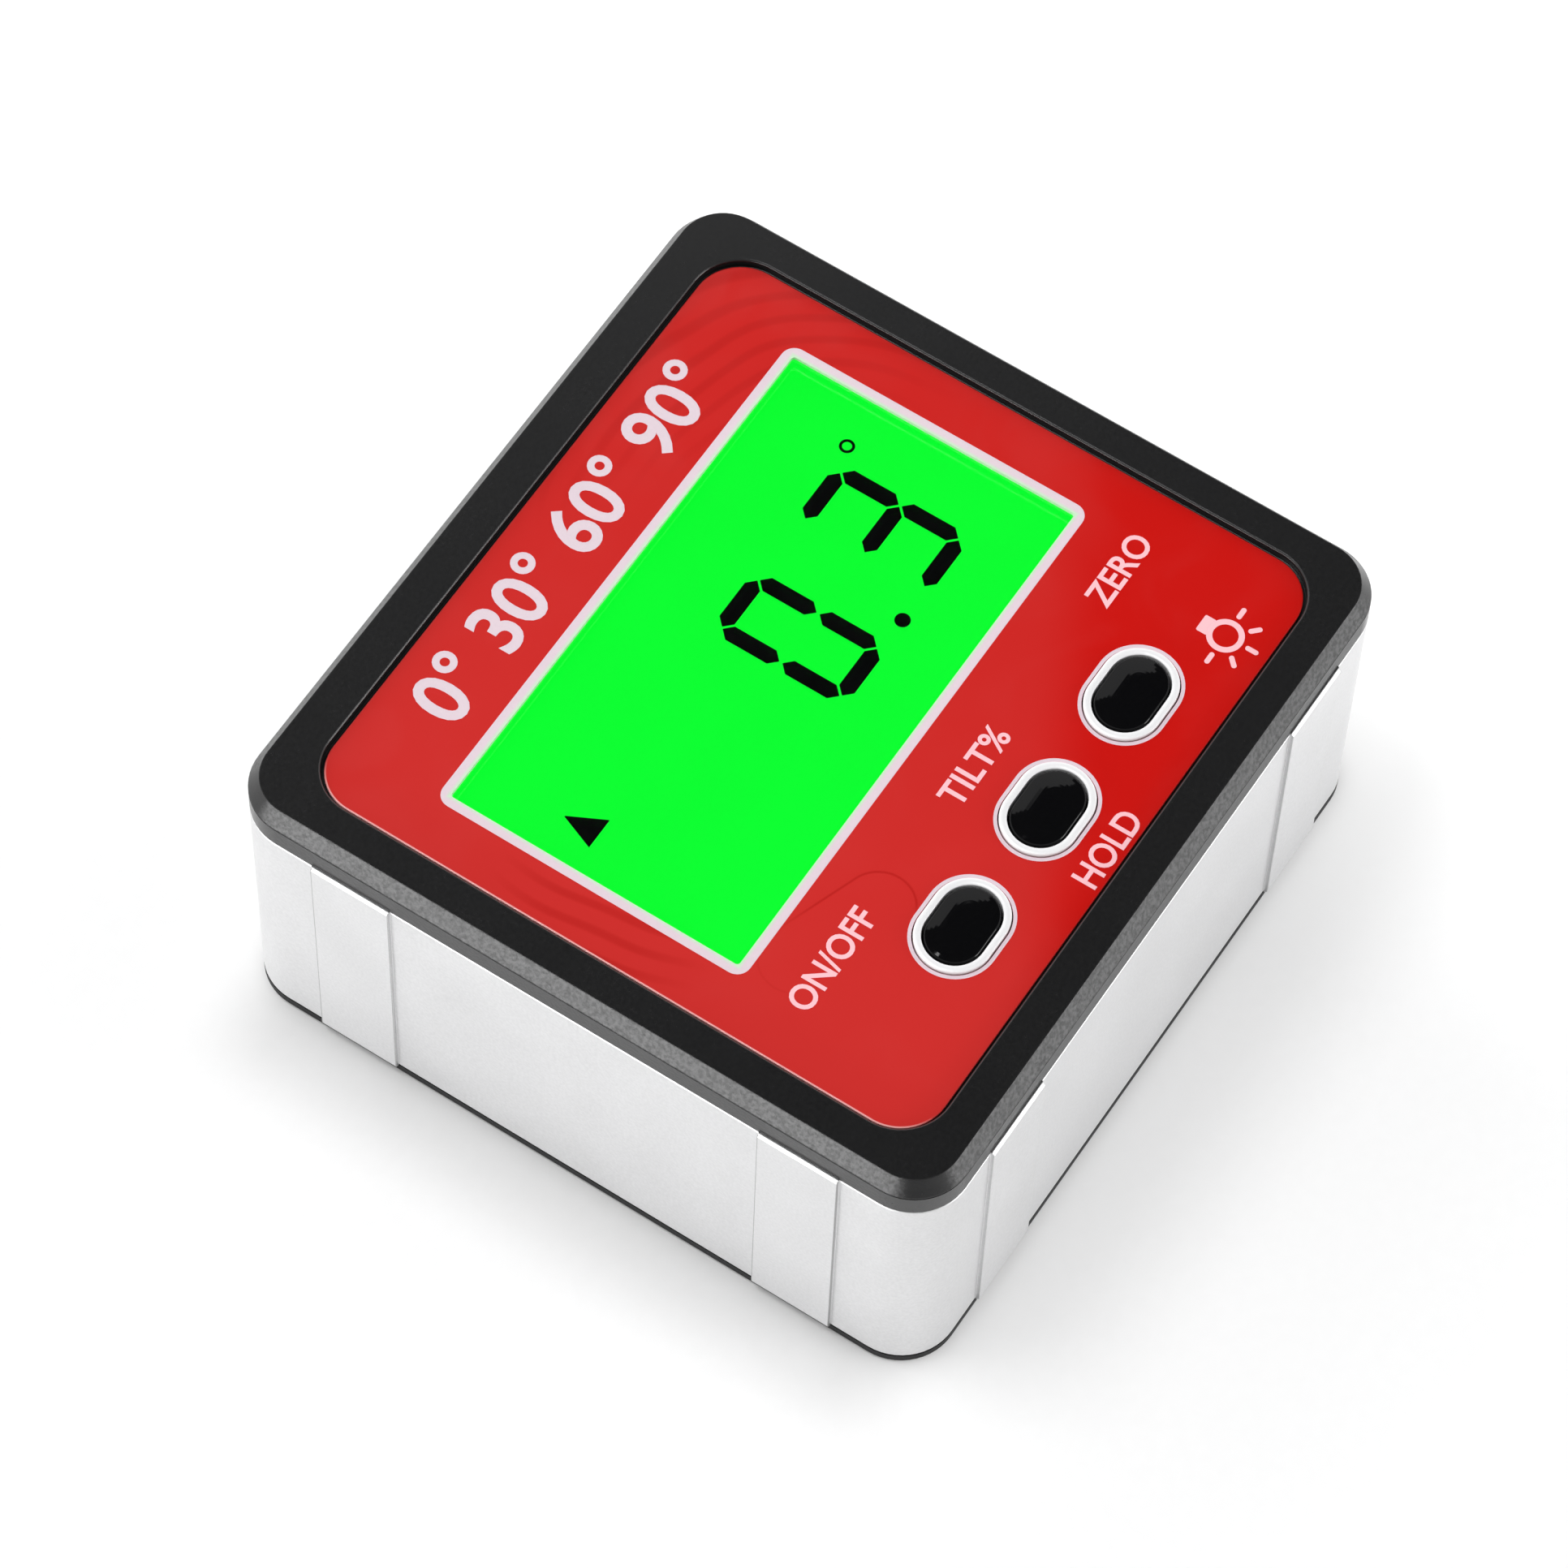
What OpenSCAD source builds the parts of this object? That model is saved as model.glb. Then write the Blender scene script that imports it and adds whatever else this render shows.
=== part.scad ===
// Digital angle gauge: a square magnetic box with a lit display and three keys.
// It lies on its back. +X runs along the display's text, +Y is up on the face, +Z points out of it.
// The origin is the middle of the rear face.

/* [Housing] */
// Width of the frame's plain profile, along the display
body_w = 59.4; // [59:0.1:66]
// Height of the frame's plain profile, from the base up
body_h = 57.1; // [56.5:0.1:64]
// Thickness from the rear face to the top of the bezel
body_t = 27; // [26.6:0.1:32]
// Outer corner radius of the frame and of both covers
corner_r = 4.2; // [3.6:0.1:6]
// Wall thickness of the extruded frame
frame_wall = 2; // [1.7:0.1:2.3]
// Bevel along the two cut ends of the frame
frame_bevel = 0.2; // [0.1:0.05:0.4]

/* [Lands] */
// Width of each raised land
land_w = 6.35; // [5.6:0.05:8]
// Height of the lands over the plain profile
land_proud = 0.3; // [0.2:0.05:0.6]
// Distance from the middle of a land to the frame's nearest side
land_inset = 10.45; // [9:0.05:14]
// Thickness of the bezel's black tab over each land
land_tab_t = 0.2; // [0.15:0.05:0.6]

/* [Front cover] */
// Height of the upright skirt above the frame
skirt_h = 2; // [1.6:0.1:2.6]
// Height of the bevel round the bezel's top
bezel_bevel_h = 1.3; // [0.9:0.1:1.6]
// Set-back of the bevel round the bezel's top
bezel_bevel_in = 0.8; // [0.5:0.05:1]
// Depth and width of the fine line between the skirt and the bevel
bezel_line = 0.1; // [0.05:0.05:0.2]
// Bevel on the lip of the face recess
lip_bevel = 0.1; // [0.05:0.05:0.3]
// Thickness of the cover's plate under the face sheet
plate_t = 1.4; // [1.3:0.1:1.8]
// Thickness of the rims that locate both covers inside the frame
rim_t = 1.2; // [0.8:0.1:1.5]
// Reach of those rims into the frame
rim_reach = 2; // [1:0.1:2.4]
// Clearance between a locating rim and the frame
rim_gap = 0.15; // [0.05:0.05:0.3]

/* [Face sheet and window] */
// Width of the bezel left and right of the face sheet
bezel_side = 3.65; // [3.2:0.05:4.5]
// Width of the bezel above and below the face sheet
bezel_end = 3.9; // [3.2:0.05:4.5]
// Corner radius of the face sheet
face_r = 3.55; // [2:0.05:5]
// Shift of the face sheet towards the base
face_drop = 0.2; // [0:0.05:0.5]
// Thickness of the face sheet
face_t = 0.3; // [0.2:0.05:0.5]
// Depth of the face sheet below the bezel's top
face_sink = 0.5; // [0.3:0.05:0.7]
// Clearance round the face sheet
face_gap = 0.27; // [0.1:0.01:0.35]
// Strip of the face sheet left and right of the display opening
side_strip = 4.75; // [4.3:0.05:7]
// Strip of the face sheet above the display opening
upper_strip = 8.75; // [8.3:0.05:11]
// Strip of the face sheet below the display opening, with the keys
lower_strip = 17.15; // [16.5:0.05:19]
// Thickness of the clear pane
pane_t = 0.9; // [0.7:0.1:1]
// Lap of the pane under the face sheet, on each side
pane_lap = 1.1; // [0.9:0.1:1.3]

/* [Display stack] */
// Margin of the display glass beyond the opening, at its two ends
glass_lap = 2; // [1.8:0.1:2.3]
// Thickness of each of the display's two glass sheets
glass_t = 0.9; // [0.7:0.05:1.1]
// Width of the contact ledge along each long edge of the glass
glass_ledge = 2; // [1.6:0.1:2.2]
// Thickness of the backlight panel
backlight_t = 1.7; // [1.6:0.1:2]
// Wall of the display holder
holder_wall = 1; // [0.8:0.1:1.2]
// Room between the backlight panel and the board
board_room = 1.4; // [1.2:0.1:1.8]

/* [Keys] */
// Length of a key cap
key_l = 6.2; // [5.5:0.1:7]
// Width of a key cap
key_w = 4.2; // [3.8:0.1:5]
// Distance from key to key
key_pitch = 10.8; // [10.5:0.1:12]
// Height of the row of keys above the face sheet's lower edge
key_up = 6.3; // [5.8:0.05:7]
// Shift of the row of keys to the right of the middle
key_shift = 0.35; // [0:0.05:0.6]
// Height of a cap above the face sheet
key_rise = 0.45; // [0.4:0.05:0.8]
// Height of the dome on a cap
key_dome = 0.2; // [0.1:0.05:0.25]
// Travel of a key
key_travel = 0.3; // [0.2:0.05:0.35]
// Clearance round a key cap
key_gap = 0.15; // [0.1:0.05:0.3]
// Wall of the bright ring round a cap
trim_wall = 0.55; // [0.4:0.05:0.7]
// Height of the bright ring above the face sheet
trim_rise = 0.3; // [0.15:0.05:0.35]

/* [Board] */
// Thickness of the circuit board
board_t = 1.6; // [1.2:0.1:1.8]
// Clearance between the board and the frame
board_gap = 1.7; // [1.2:0.1:2.2]
// Height of a key switch above the board
switch_h = 2; // [1.6:0.1:2.4]
// Width of a key switch
switch_w = 4.6; // [4:0.1:6]
// Diameter of a switch plunger
plunger_d = 2.2; // [1.8:0.1:2.6]

/* [Rear cover and door] */
// Thickness of the rear cover's flange under the frame
rear_edge = 0.9; // [0.7:0.05:1.1]
// Bevel round the rear face
rear_bevel = 0.25; // [0.1:0.05:0.4]
// Thickness of the rear cover's floor
floor_t = 2; // [1.9:0.1:2.4]
// Thickness of the ledge that holds the door's tabs
ledge_t = 0.9; // [0.7:0.05:1]
// Wall of the battery bay
bay_wall = 1.2; // [0.9:0.1:1.4]
// Travel of the battery door
door_travel = 5; // [3:0.1:6]
// Depth of the door's face below the rear face
door_sink = 0.2; // [0.1:0.05:0.3]
// Clearance round the door
door_gap = 0.15; // [0.1:0.05:0.3]

/* [Cells and contacts] */
// Diameter of a cell
cell_d = 10.5; // [10:0.1:10.8]
// Room between the ends of the battery bay and the rear cover's rim
bay_room = 0.75; // [0.5:0.05:1.5]
// Thickness of the contact metal
contact_t = 0.4; // [0.3:0.05:0.5]
// Depth of the contact springs
spring_depth = 3.5; // [2.5:0.1:4]

/* [Magnets and screws] */
// Width of a base magnet
magnet_w = 5; // [4:0.1:5.4]
// Thickness of a base magnet
magnet_t = 1.8; // [1.2:0.1:2]
// Length of a base magnet
magnet_l = 15; // [10:0.5:16]
// Metal left between a magnet and the land's face
magnet_skin = 1.3; // [1:0.05:1.5]
// Diameter of the screw posts
post_d = 5; // [4.4:0.1:5.4]
// Distance from the frame's inner faces to a screw post's axis
post_inset = 3.2; // [3:0.1:3.6]
// Shank diameter of the cover screws
screw_d = 2; // [1.8:0.1:2.4]
// Shank length of the cover screws
screw_l = 10; // [8:0.5:12]
// Shank diameter of the board screws
board_screw_d = 1.6; // [1.4:0.1:1.8]

/* [Hidden] */
$fn = 48;
// Overlap of joined solids
eps = 0.01;
// Overshoot of cutting solids
over = 1;
// Gap between pieces that only just touch
touch_gap = 0.05;

// Heights, from the rear face up
z_frame_lo = rear_edge;
z_bevel = body_t - bezel_bevel_h;
z_frame_hi = z_bevel - skirt_h;
z_face = body_t - face_sink;
z_seat = z_face - face_t;
z_plate = z_seat - plate_t;
z_pane = z_seat - pane_t;
seat_gap = 0.1;
z_glass = z_plate - seat_gap;
z_ledge = z_glass - glass_t;
z_light = z_ledge - glass_t;
z_light_lo = z_light - backlight_t;
z_board = z_light_lo - board_room;
z_board_lo = z_board - board_t;
z_switch = z_board + switch_h;

// Inside of the frame
in_w = body_w - 2 * frame_wall;
in_h = body_h - 2 * frame_wall;
in_r = corner_r - frame_wall;
rim_r = max(in_r - rim_gap, 0.5);
rim_in_r = max(rim_r - rim_t, 0.4);
rim_w = in_w - 2 * rim_gap;
rim_h = in_h - 2 * rim_gap;

// Face sheet, display opening and the row of keys
face_w = body_w - 2 * bezel_side;
face_h = body_h - 2 * bezel_end;
face_lo = -face_drop - face_h / 2;
window_w = face_w - 2 * side_strip;
window_h = face_h - upper_strip - lower_strip;
window_y = face_lo + lower_strip + window_h / 2;
key_y = face_lo + key_up;

// Lands, from the middle of the frame
land_x = body_w / 2 - land_inset;
land_y = body_h / 2 - land_inset;

// Display and its glass
pane_gap = 0.1;
window_r = 0.3;
window_clear = 0.55;
glass_w = window_w + 2 * glass_lap;
rail_w = 0.8;
glass_h = window_h + 2 * (rail_w + glass_ledge);
holder_gap = 0.2;
holder_w = glass_w + 2 * (holder_gap + holder_wall);
holder_h = glass_h + 2 * (holder_gap + holder_wall);
strip_gap = 0.1;
strip_w = glass_ledge - 2 * strip_gap;
strip_y = glass_h / 2 - glass_ledge / 2;
web_x = 10;
led_l = 3;
led_h = 1.6;
led_t = 0.8;
led_gap = 0.1;
light_w = glass_w - 2 * (led_t + 2 * led_gap);
light_h = window_h;

// Keys
KEYS = [key_shift - key_pitch, key_shift, key_shift + key_pitch];
trim_l = key_l + 2 * (key_gap + trim_wall);
trim_w = key_w + 2 * (key_gap + trim_wall);
trim_fit = 0.05;
trim_sink = 0.9;
trim_dome = 0.12;
hole_clear = 0.1;
flange_t = 1;
flange_lap = 1;
flange_gap = 0.05;
cap_round = 0.15;
edge_steps = 5;
dome_steps = 8;
stem_d = 2.8;
plunger_rise = 0.9;
plunger_fit = 0.05;
plunger_bore = plunger_d + 2 * plunger_fit;
plunger_sink = 0.5;
plunger_clear = 0.15;

// Screw posts and board bosses
post_x = in_w / 2 - post_inset;
post_y = in_h / 2 - post_inset;
post_gap = 0.1;
boss_rise = 1.2;
boss_top = floor_t + boss_rise;
bore_clear = 0.1;
bore_end = 0.5;
head_ratio = 1.9;
head_d = screw_d * head_ratio;
head_h = 1.2;
head_sink = 0.2;
head_clear = 0.5;
recess_l = 0.6;
recess_w = 0.18;
board_w = in_w - 2 * board_gap;
board_h = in_h - 2 * board_gap;
screw_tip = head_sink + head_h + screw_l;
notch_clear = 0.5;
board_notch = post_inset - board_gap + post_d / 2 + notch_clear;
board_boss_d = 4;
board_boss_clear = 1;
board_screw_grip = 4;
board_head_d = board_screw_d * head_ratio;
board_head_h = 1.1;
board_boss_side = glass_w / 2 + holder_gap;
board_boss_low = window_y - holder_h / 2 - board_boss_d / 2 - board_boss_clear;
board_boss_mid = 17;
board_boss_high = window_y + holder_h / 2 + board_boss_d / 2 + board_boss_clear;
BOARD_BOSSES = [[-board_boss_side, board_boss_low], [board_boss_side, board_boss_low],
                [-board_boss_mid, board_boss_high], [board_boss_mid, board_boss_high]];

// Battery bay, cells and door
cell_gap = 0.15;
cell_space = 0.4;
cell_pitch = cell_d + cell_space;
button_l = 1.2;
button_d = 3.8;
slide_gap = 0.1;
tab_t = 0.7;
door_top = ledge_t + slide_gap + tab_t;
cell_z = door_top + cell_gap + cell_d / 2;
bay_ceiling = cell_z + cell_d / 2 + cell_gap;
bay_top = bay_ceiling + bay_wall;
bay_l = in_w - 2 * (rim_gap + rim_t + bay_wall + bay_room);
cell_l = bay_l - spring_depth - 2 * contact_t;
end_ledge = 1.2;
open_l = bay_l - 2 * end_ledge;
cell_side = 0.3;
open_w = cell_pitch + cell_d + 2 * cell_side;
side_ledge = 1.3;
bay_w = open_w + 2 * side_ledge;
panel_l = open_l - 2 * door_gap;
panel_w = open_w - door_travel - 2 * door_gap;
panel_y = -door_travel / 2;
tab_l = 4;
tab_reach = 0.8;
tab_x = panel_l / 2 + tab_reach;
TABS = [-open_w / 4 - door_travel / 2, open_w / 4 - door_travel / 2];
tab_clear = 0.2;
tongue_w = 30;
tongue_lap = 1.4;
tongue_root = 1;
tongue_end = open_w / 2 + tongue_lap;
step_end = open_w / 2 - door_gap;
groove_count = 4;
groove_l = 20;
groove_w = 0.6;
groove_pitch = 1.2;
groove_depth = 0.35;
rib_x = 18;
rib_t = 1;

// Contacts
contact_w = 7;
cell_end = bay_l / 2 - contact_t - touch_gap;
tail_clear = 0.2;
contact_lift = 1.3;
contact_drop = 0.1;
contact_lo = door_top + contact_lift;
contact_hi = bay_ceiling - contact_drop;
leaf_inset = 0.3;
tail_w = 3;

// Pieces soldered below the board
chip_x = 4;
chip_y = 8;
chip_d = 9;
chip_h = 1.4;
chip_round = 0.4;
sensor_x = 13;
sensor_y = -2;
sensor_w = 3;
sensor_h = 1;
crystal_x = -8;
crystal_inset = 8;
crystal_y = board_h / 2 - crystal_inset;
crystal_d = 2;
crystal_l = 6;
capacitor_count = 4;
capacitor_step = 3;
capacitor_w = 1.25;
capacitor_l = 2;
capacitor_h = 0.9;

// Magnets
magnet_y = -(body_h / 2 + land_proud - magnet_skin);
magnet_fit = 0.05;

// A rectangle with round corners
module rounded_square(w, h, r) {
    square([w, h - 2 * r], center = true);
    square([w - 2 * r, h], center = true);
    for (x = [-1, 1], y = [-1, 1])
        translate([x * (w / 2 - r), y * (h / 2 - r)]) circle(r);
}

// A plate with round corners, between two heights
module slab(w, h, r, z0, z1) {
    translate([0, 0, z0]) linear_extrude(z1 - z0) rounded_square(w, h, r);
}

// A profile swept round a rectangle with round corners; its x counts from the corner's centre
module rim_sweep(w, h, r) {
    for (k = [0:3]) {
        side_x = k == 0 || k == 3 ? 1 : -1;
        side_y = k < 2 ? 1 : -1;
        reach = k % 2 == 0 ? w : h;
        span = k % 2 == 0 ? h : w;
        translate([side_x * (w / 2 - r), side_y * (h / 2 - r), 0])
            rotate(90 * k) rotate_extrude(angle = 90) children();
        rotate(90 * k) translate([reach / 2 - r, 0, 0])
            rotate([90, 0, 0]) linear_extrude(span - 2 * r, center = true) children();
    }
}

// A block with round corners between two heights, whose sides follow a swept profile
module profile_block(w, h, r, z0, z1) {
    rim_sweep(w, h, r) children();
    translate([0, 0, (z0 + z1) / 2])
        cube([w - 2 * r + 2 * eps, h - 2 * r + 2 * eps, z1 - z0], center = true);
}

// An oval with straight sides
module oval(l, w) {
    square([l - w, w], center = true);
    for (s = [-1, 1]) translate([s * (l - w) / 2, 0]) circle(d = w);
}

// An oval bar between two heights
module oval_bar(l, w, z0, z1) {
    translate([0, 0, z0]) linear_extrude(z1 - z0) oval(l, w);
}

// A profile swept round an oval; its x counts from the oval's middle line
module oval_sweep(l, w) {
    for (k = [0, 1]) rotate(180 * k) {
        translate([(l - w) / 2, 0, 0]) rotate(-90) rotate_extrude(angle = 180) children();
        rotate([90, 0, -90]) linear_extrude(l - w, center = true) children();
    }
}

// Repeats its children at the four screw posts
module at_posts() {
    for (x = [-1, 1], y = [-1, 1]) translate([x * post_x, y * post_y, 0]) children();
}

// Repeats its children at the four board bosses
module at_board_bosses() {
    for (p = BOARD_BOSSES) translate([p[0], p[1], 0]) children();
}

// Repeats its children at the three keys
module at_keys() {
    for (x = KEYS) translate([x, key_y, 0]) children();
}

// Repeats its children at the eight lands, with +X pointing out of the frame's plain face
module at_lands() {
    for (k = [0:3], s = [-1, 1]) {
        reach = k % 2 == 0 ? body_w : body_h;
        along = k % 2 == 0 ? land_y : land_x;
        rotate(90 * k) translate([reach / 2, s * along, 0]) children();
    }
}

// One land's profile, cut to a bevel at both ends
module land(depth) {
    rotate([90, 0, 0]) linear_extrude(land_w, center = true)
        polygon([[-depth, z_frame_lo], [land_proud - frame_bevel, z_frame_lo],
                 [land_proud, z_frame_lo + frame_bevel], [land_proud, z_frame_hi - frame_bevel],
                 [land_proud - frame_bevel, z_frame_hi], [-depth, z_frame_hi]]);
}

// Extruded ring with its lands, and two grooves for the magnets behind the base's lands
module frame() {
    color("gainsboro") difference() {
        union() {
            rim_sweep(body_w, body_h, corner_r)
                polygon([[in_r, z_frame_lo], [corner_r - frame_bevel, z_frame_lo],
                         [corner_r, z_frame_lo + frame_bevel], [corner_r, z_frame_hi - frame_bevel],
                         [corner_r - frame_bevel, z_frame_hi], [in_r, z_frame_hi]]);
            at_lands() land(frame_wall / 2);
        }
        for (s = [-1, 1])
            translate([s * land_x, magnet_y + frame_wall, body_t / 2])
                cube([magnet_w + 2 * magnet_fit, 2 * frame_wall, body_t + 2 * over], center = true);
    }
}

// Hollow inside a cover's locating rim
module rim_hollow(z0, z1) {
    slab(rim_w - 2 * rim_t, rim_h - 2 * rim_t, rim_in_r, z0, z1);
}

// Moulded bezel: bevelled rim, face recess, display and key openings, screw posts, board bosses
module front_cover() {
    z_rim = z_frame_hi - rim_reach;
    recess_r = face_r + face_gap;
    color([0.12, 0.12, 0.12]) difference() {
        union() {
            difference() {
                union() {
                    profile_block(body_w, body_h, corner_r, z_frame_hi, body_t)
                        polygon([[0, z_frame_hi], [corner_r, z_frame_hi],
                                 [corner_r, z_bevel - bezel_line],
                                 [corner_r - bezel_line, z_bevel - bezel_line],
                                 [corner_r - bezel_line, z_bevel], [corner_r, z_bevel],
                                 [corner_r - bezel_bevel_in, body_t], [0, body_t]]);
                    slab(rim_w, rim_h, rim_r, z_rim, z_frame_hi + eps);
                    at_lands() translate([-frame_wall / 2, -land_w / 2, z_frame_hi])
                        cube([frame_wall / 2 + land_proud - frame_bevel, land_w, land_tab_t]);
                }
                rim_hollow(z_rim - over, z_plate);
            }
            at_posts() translate([0, 0, boss_top + post_gap])
                cylinder(d = post_d, h = z_plate - boss_top - post_gap + eps);
            at_board_bosses() translate([0, 0, z_board])
                cylinder(d = board_boss_d, h = z_plate - z_board + eps);
        }
        translate([0, -face_drop, 0])
            profile_block(face_w + 2 * face_gap, face_h + 2 * face_gap, recess_r, z_seat, body_t + over)
                polygon([[0, z_seat], [recess_r, z_seat], [recess_r, body_t - lip_bevel],
                         [recess_r + lip_bevel, body_t], [recess_r + lip_bevel, body_t + over],
                         [0, body_t + over]]);
        translate([0, window_y, 0]) {
            slab(window_w + 2 * (pane_lap + pane_gap), window_h + 2 * (pane_lap + pane_gap),
                 window_r + pane_lap, z_pane, body_t);
            slab(window_w + 2 * window_clear, window_h + 2 * window_clear,
                 window_r + window_clear, z_plate - over, body_t);
        }
        at_keys() {
            oval_bar(trim_l + 2 * trim_fit, trim_w + 2 * trim_fit, z_seat - trim_sink, body_t);
            oval_bar(key_l + 2 * key_gap, key_w + 2 * key_gap, z_plate - over, body_t);
        }
        at_posts() cylinder(d = screw_d + 2 * bore_clear, h = screw_tip + bore_end);
        at_board_bosses()
            cylinder(d = board_screw_d + 2 * bore_clear, h = z_board + board_screw_grip + bore_end);
    }
}

// Moulded back: flange, locating rim, ribs, screw bosses, battery bay and the door's ledges
module rear_cover() {
    color([0.13, 0.13, 0.13]) difference() {
        union() {
            profile_block(body_w, body_h, corner_r, 0, rear_edge)
                polygon([[0, 0], [corner_r - rear_bevel, 0], [corner_r, rear_bevel],
                         [corner_r, rear_edge], [0, rear_edge]]);
            difference() {
                slab(rim_w, rim_h, rim_r, rear_edge - eps, rear_edge + rim_reach);
                rim_hollow(floor_t, body_t);
            }
            at_posts() cylinder(d = post_d, h = boss_top);
            slab(bay_l + 2 * bay_wall, bay_w + 2 * bay_wall, bay_wall, floor_t - eps, bay_top);
            for (s = [-1, 1])
                translate([s * rib_x - rib_t / 2, rim_t / 2 - rim_h / 2, floor_t - eps])
                    cube([rib_t, rim_h - rim_t, rear_edge + rim_reach - floor_t]);
        }
        at_posts() {
            translate([0, 0, -over])
                cylinder(d = screw_d + 2 * bore_clear, h = boss_top + 2 * over);
            translate([0, 0, -over])
                cylinder(d = head_d + head_clear, h = over + head_sink + head_h);
        }
        translate([-bay_l / 2, -bay_w / 2, ledge_t]) cube([bay_l, bay_w, bay_ceiling - ledge_t]);
        translate([-open_l / 2, -open_w / 2, -over]) cube([open_l, open_w, ledge_t + 2 * over]);
        for (s = [-1, 1], y = TABS)
            translate([s * open_l / 2, y + door_travel, 0])
                cube([2 * (tab_x + tab_clear - open_l / 2), tab_l + 2 * tab_clear,
                      2 * (ledge_t + over)], center = true);
        door_channel(tongue_w, tongue_end);
        door_channel(panel_l, step_end);
        for (s = [-1, 1])
            translate([bay_l / 2 - contact_t - tail_clear,
                       s * cell_pitch / 2 - tail_w / 2 - tail_clear, bay_ceiling - over])
                cube([contact_t + tail_clear, tail_w + 2 * tail_clear, bay_wall + 2 * over]);
    }
}

// Room for a part of the door, under the bay's wall and along the floor behind it
module door_channel(part_w, part_end) {
    channel_w = part_w + 2 * door_gap;
    channel_end = part_end + door_travel + door_gap;
    translate([-channel_w / 2, bay_w / 2 - eps, ledge_t])
        cube([channel_w, channel_end - bay_w / 2, door_top + slide_gap - ledge_t]);
    translate([-channel_w / 2, bay_w / 2 + bay_wall, ledge_t])
        cube([channel_w, channel_end - bay_w / 2 - bay_wall, floor_t]);
}

// Sliding door: panel with finger grooves, a sunk step, a tongue under the bay's wall and four tabs
module battery_door() {
    z_tab = ledge_t + slide_gap;
    panel_edge = panel_y + panel_w / 2;
    color([0.15, 0.15, 0.15]) difference() {
        union() {
            translate([-panel_l / 2, panel_y - panel_w / 2, door_sink])
                cube([panel_l, panel_w, door_top - door_sink]);
            translate([-tongue_w / 2, panel_edge - tongue_root, z_tab])
                cube([tongue_w, tongue_end - panel_edge + tongue_root, tab_t]);
            translate([-panel_l / 2, panel_edge - eps, z_tab])
                cube([panel_l, step_end - panel_edge + eps, tab_t]);
            for (s = [-1, 1], y = TABS)
                translate([s * panel_l / 2, y, (z_tab + door_top) / 2])
                    cube([2 * tab_reach, tab_l, tab_t], center = true);
        }
        for (k = [0:groove_count - 1])
            translate([-groove_l / 2, panel_edge - groove_pitch * (k + 1), door_sink - over])
                cube([groove_l, groove_w, over + groove_depth]);
    }
}

// Printed sheet with its display opening and key holes
module face_overlay() {
    color([0.8, 0.12, 0.1]) difference() {
        translate([0, -face_drop, 0]) slab(face_w, face_h, face_r, z_seat, z_face);
        translate([0, window_y, 0]) slab(window_w, window_h, window_r, z_seat - over, z_face + over);
        at_keys()
            oval_bar(trim_l + 2 * hole_clear, trim_w + 2 * hole_clear, z_seat - over, z_face + over);
    }
}

// Clear pane behind the sheet's opening
module display_window() {
    color([0.85, 0.95, 0.9, 0.4]) translate([0, window_y, 0])
        slab(window_w + 2 * pane_lap, window_h + 2 * pane_lap, window_r + pane_lap - pane_gap,
             z_pane, z_seat);
}

// Display glass: the front sheet overhangs the rear one along both contact ledges
module lcd_glass() {
    color([0.05, 0.95, 0.2]) translate([-glass_w / 2, window_y, 0]) {
        translate([0, -glass_h / 2, z_ledge]) cube([glass_w, glass_h, glass_t]);
        translate([0, glass_ledge - glass_h / 2, z_light])
            cube([glass_w, glass_h - 2 * glass_ledge, glass_t + eps]);
    }
}

// Frame that stands on the board and carries the glass, the light panel and the strips
module lcd_holder() {
    room_w = glass_w + 2 * holder_gap;
    room_h = glass_h + 2 * holder_gap;
    color([0.9, 0.9, 0.88]) translate([0, window_y, 0]) {
        difference() {
            slab(holder_w, holder_h, holder_wall, z_board, z_glass);
            translate([-room_w / 2, -room_h / 2, z_board - over]) cube([room_w, room_h, body_t]);
        }
        for (s = [-1, 1]) {
            translate([-room_w / 2 - eps, s * (light_h + rail_w) / 2 - rail_w / 2, z_board])
                cube([room_w + 2 * eps, rail_w, z_light - z_board]);
            translate([s * web_x - rail_w / 2, -light_h / 2 - eps, z_board])
                cube([rail_w, light_h + 2 * eps, z_light_lo - z_board]);
        }
    }
}

// Clear panel that spreads the light behind the glass
module backlight_panel() {
    color([0.92, 0.97, 0.92]) translate([-light_w / 2, window_y - light_h / 2, z_light_lo])
        cube([light_w, light_h, backlight_t]);
}

// Lamp at the end of the light panel, on two legs
module backlight_led() {
    color([0.95, 0.95, 0.8]) translate([light_w / 2 + led_gap, window_y, 0]) {
        translate([0, -led_l / 2, z_light_lo]) cube([led_t, led_l, led_h]);
        for (s = [-1, 1])
            translate([led_t / 4, s * led_l / 3 - led_t / 4, z_board])
                cube([led_t / 2, led_t / 2, z_light_lo - z_board + eps]);
    }
}

// Rubber connector strips between the board and the glass's ledges
module zebra_strips() {
    color([0.3, 0.3, 0.35]) for (s = [-1, 1])
        translate([-light_w / 2, window_y + s * strip_y - strip_w / 2, z_board])
            cube([light_w, strip_w, z_ledge - z_board]);
}

// Circuit board, notched round the screw posts
module main_board() {
    color([0.05, 0.35, 0.15]) translate([0, 0, z_board_lo]) linear_extrude(board_t) difference() {
        square([board_w, board_h], center = true);
        for (x = [-1, 1], y = [-1, 1])
            translate([x * board_w / 2, y * board_h / 2]) square(2 * board_notch, center = true);
        for (p = BOARD_BOSSES) translate(p) circle(d = board_screw_d + 2 * bore_clear);
    }
}

// Controller under a drop of resin, below the board
module controller_chip() {
    color([0.08, 0.08, 0.08]) translate([chip_x, chip_y, z_board_lo]) rotate_extrude()
        polygon([[0, 0], [chip_d / 2, 0], [chip_d / 2 - chip_round, -chip_h / 2],
                 [chip_d / 4, chip_round / 3 - chip_h], [0, -chip_h]]);
}

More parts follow.
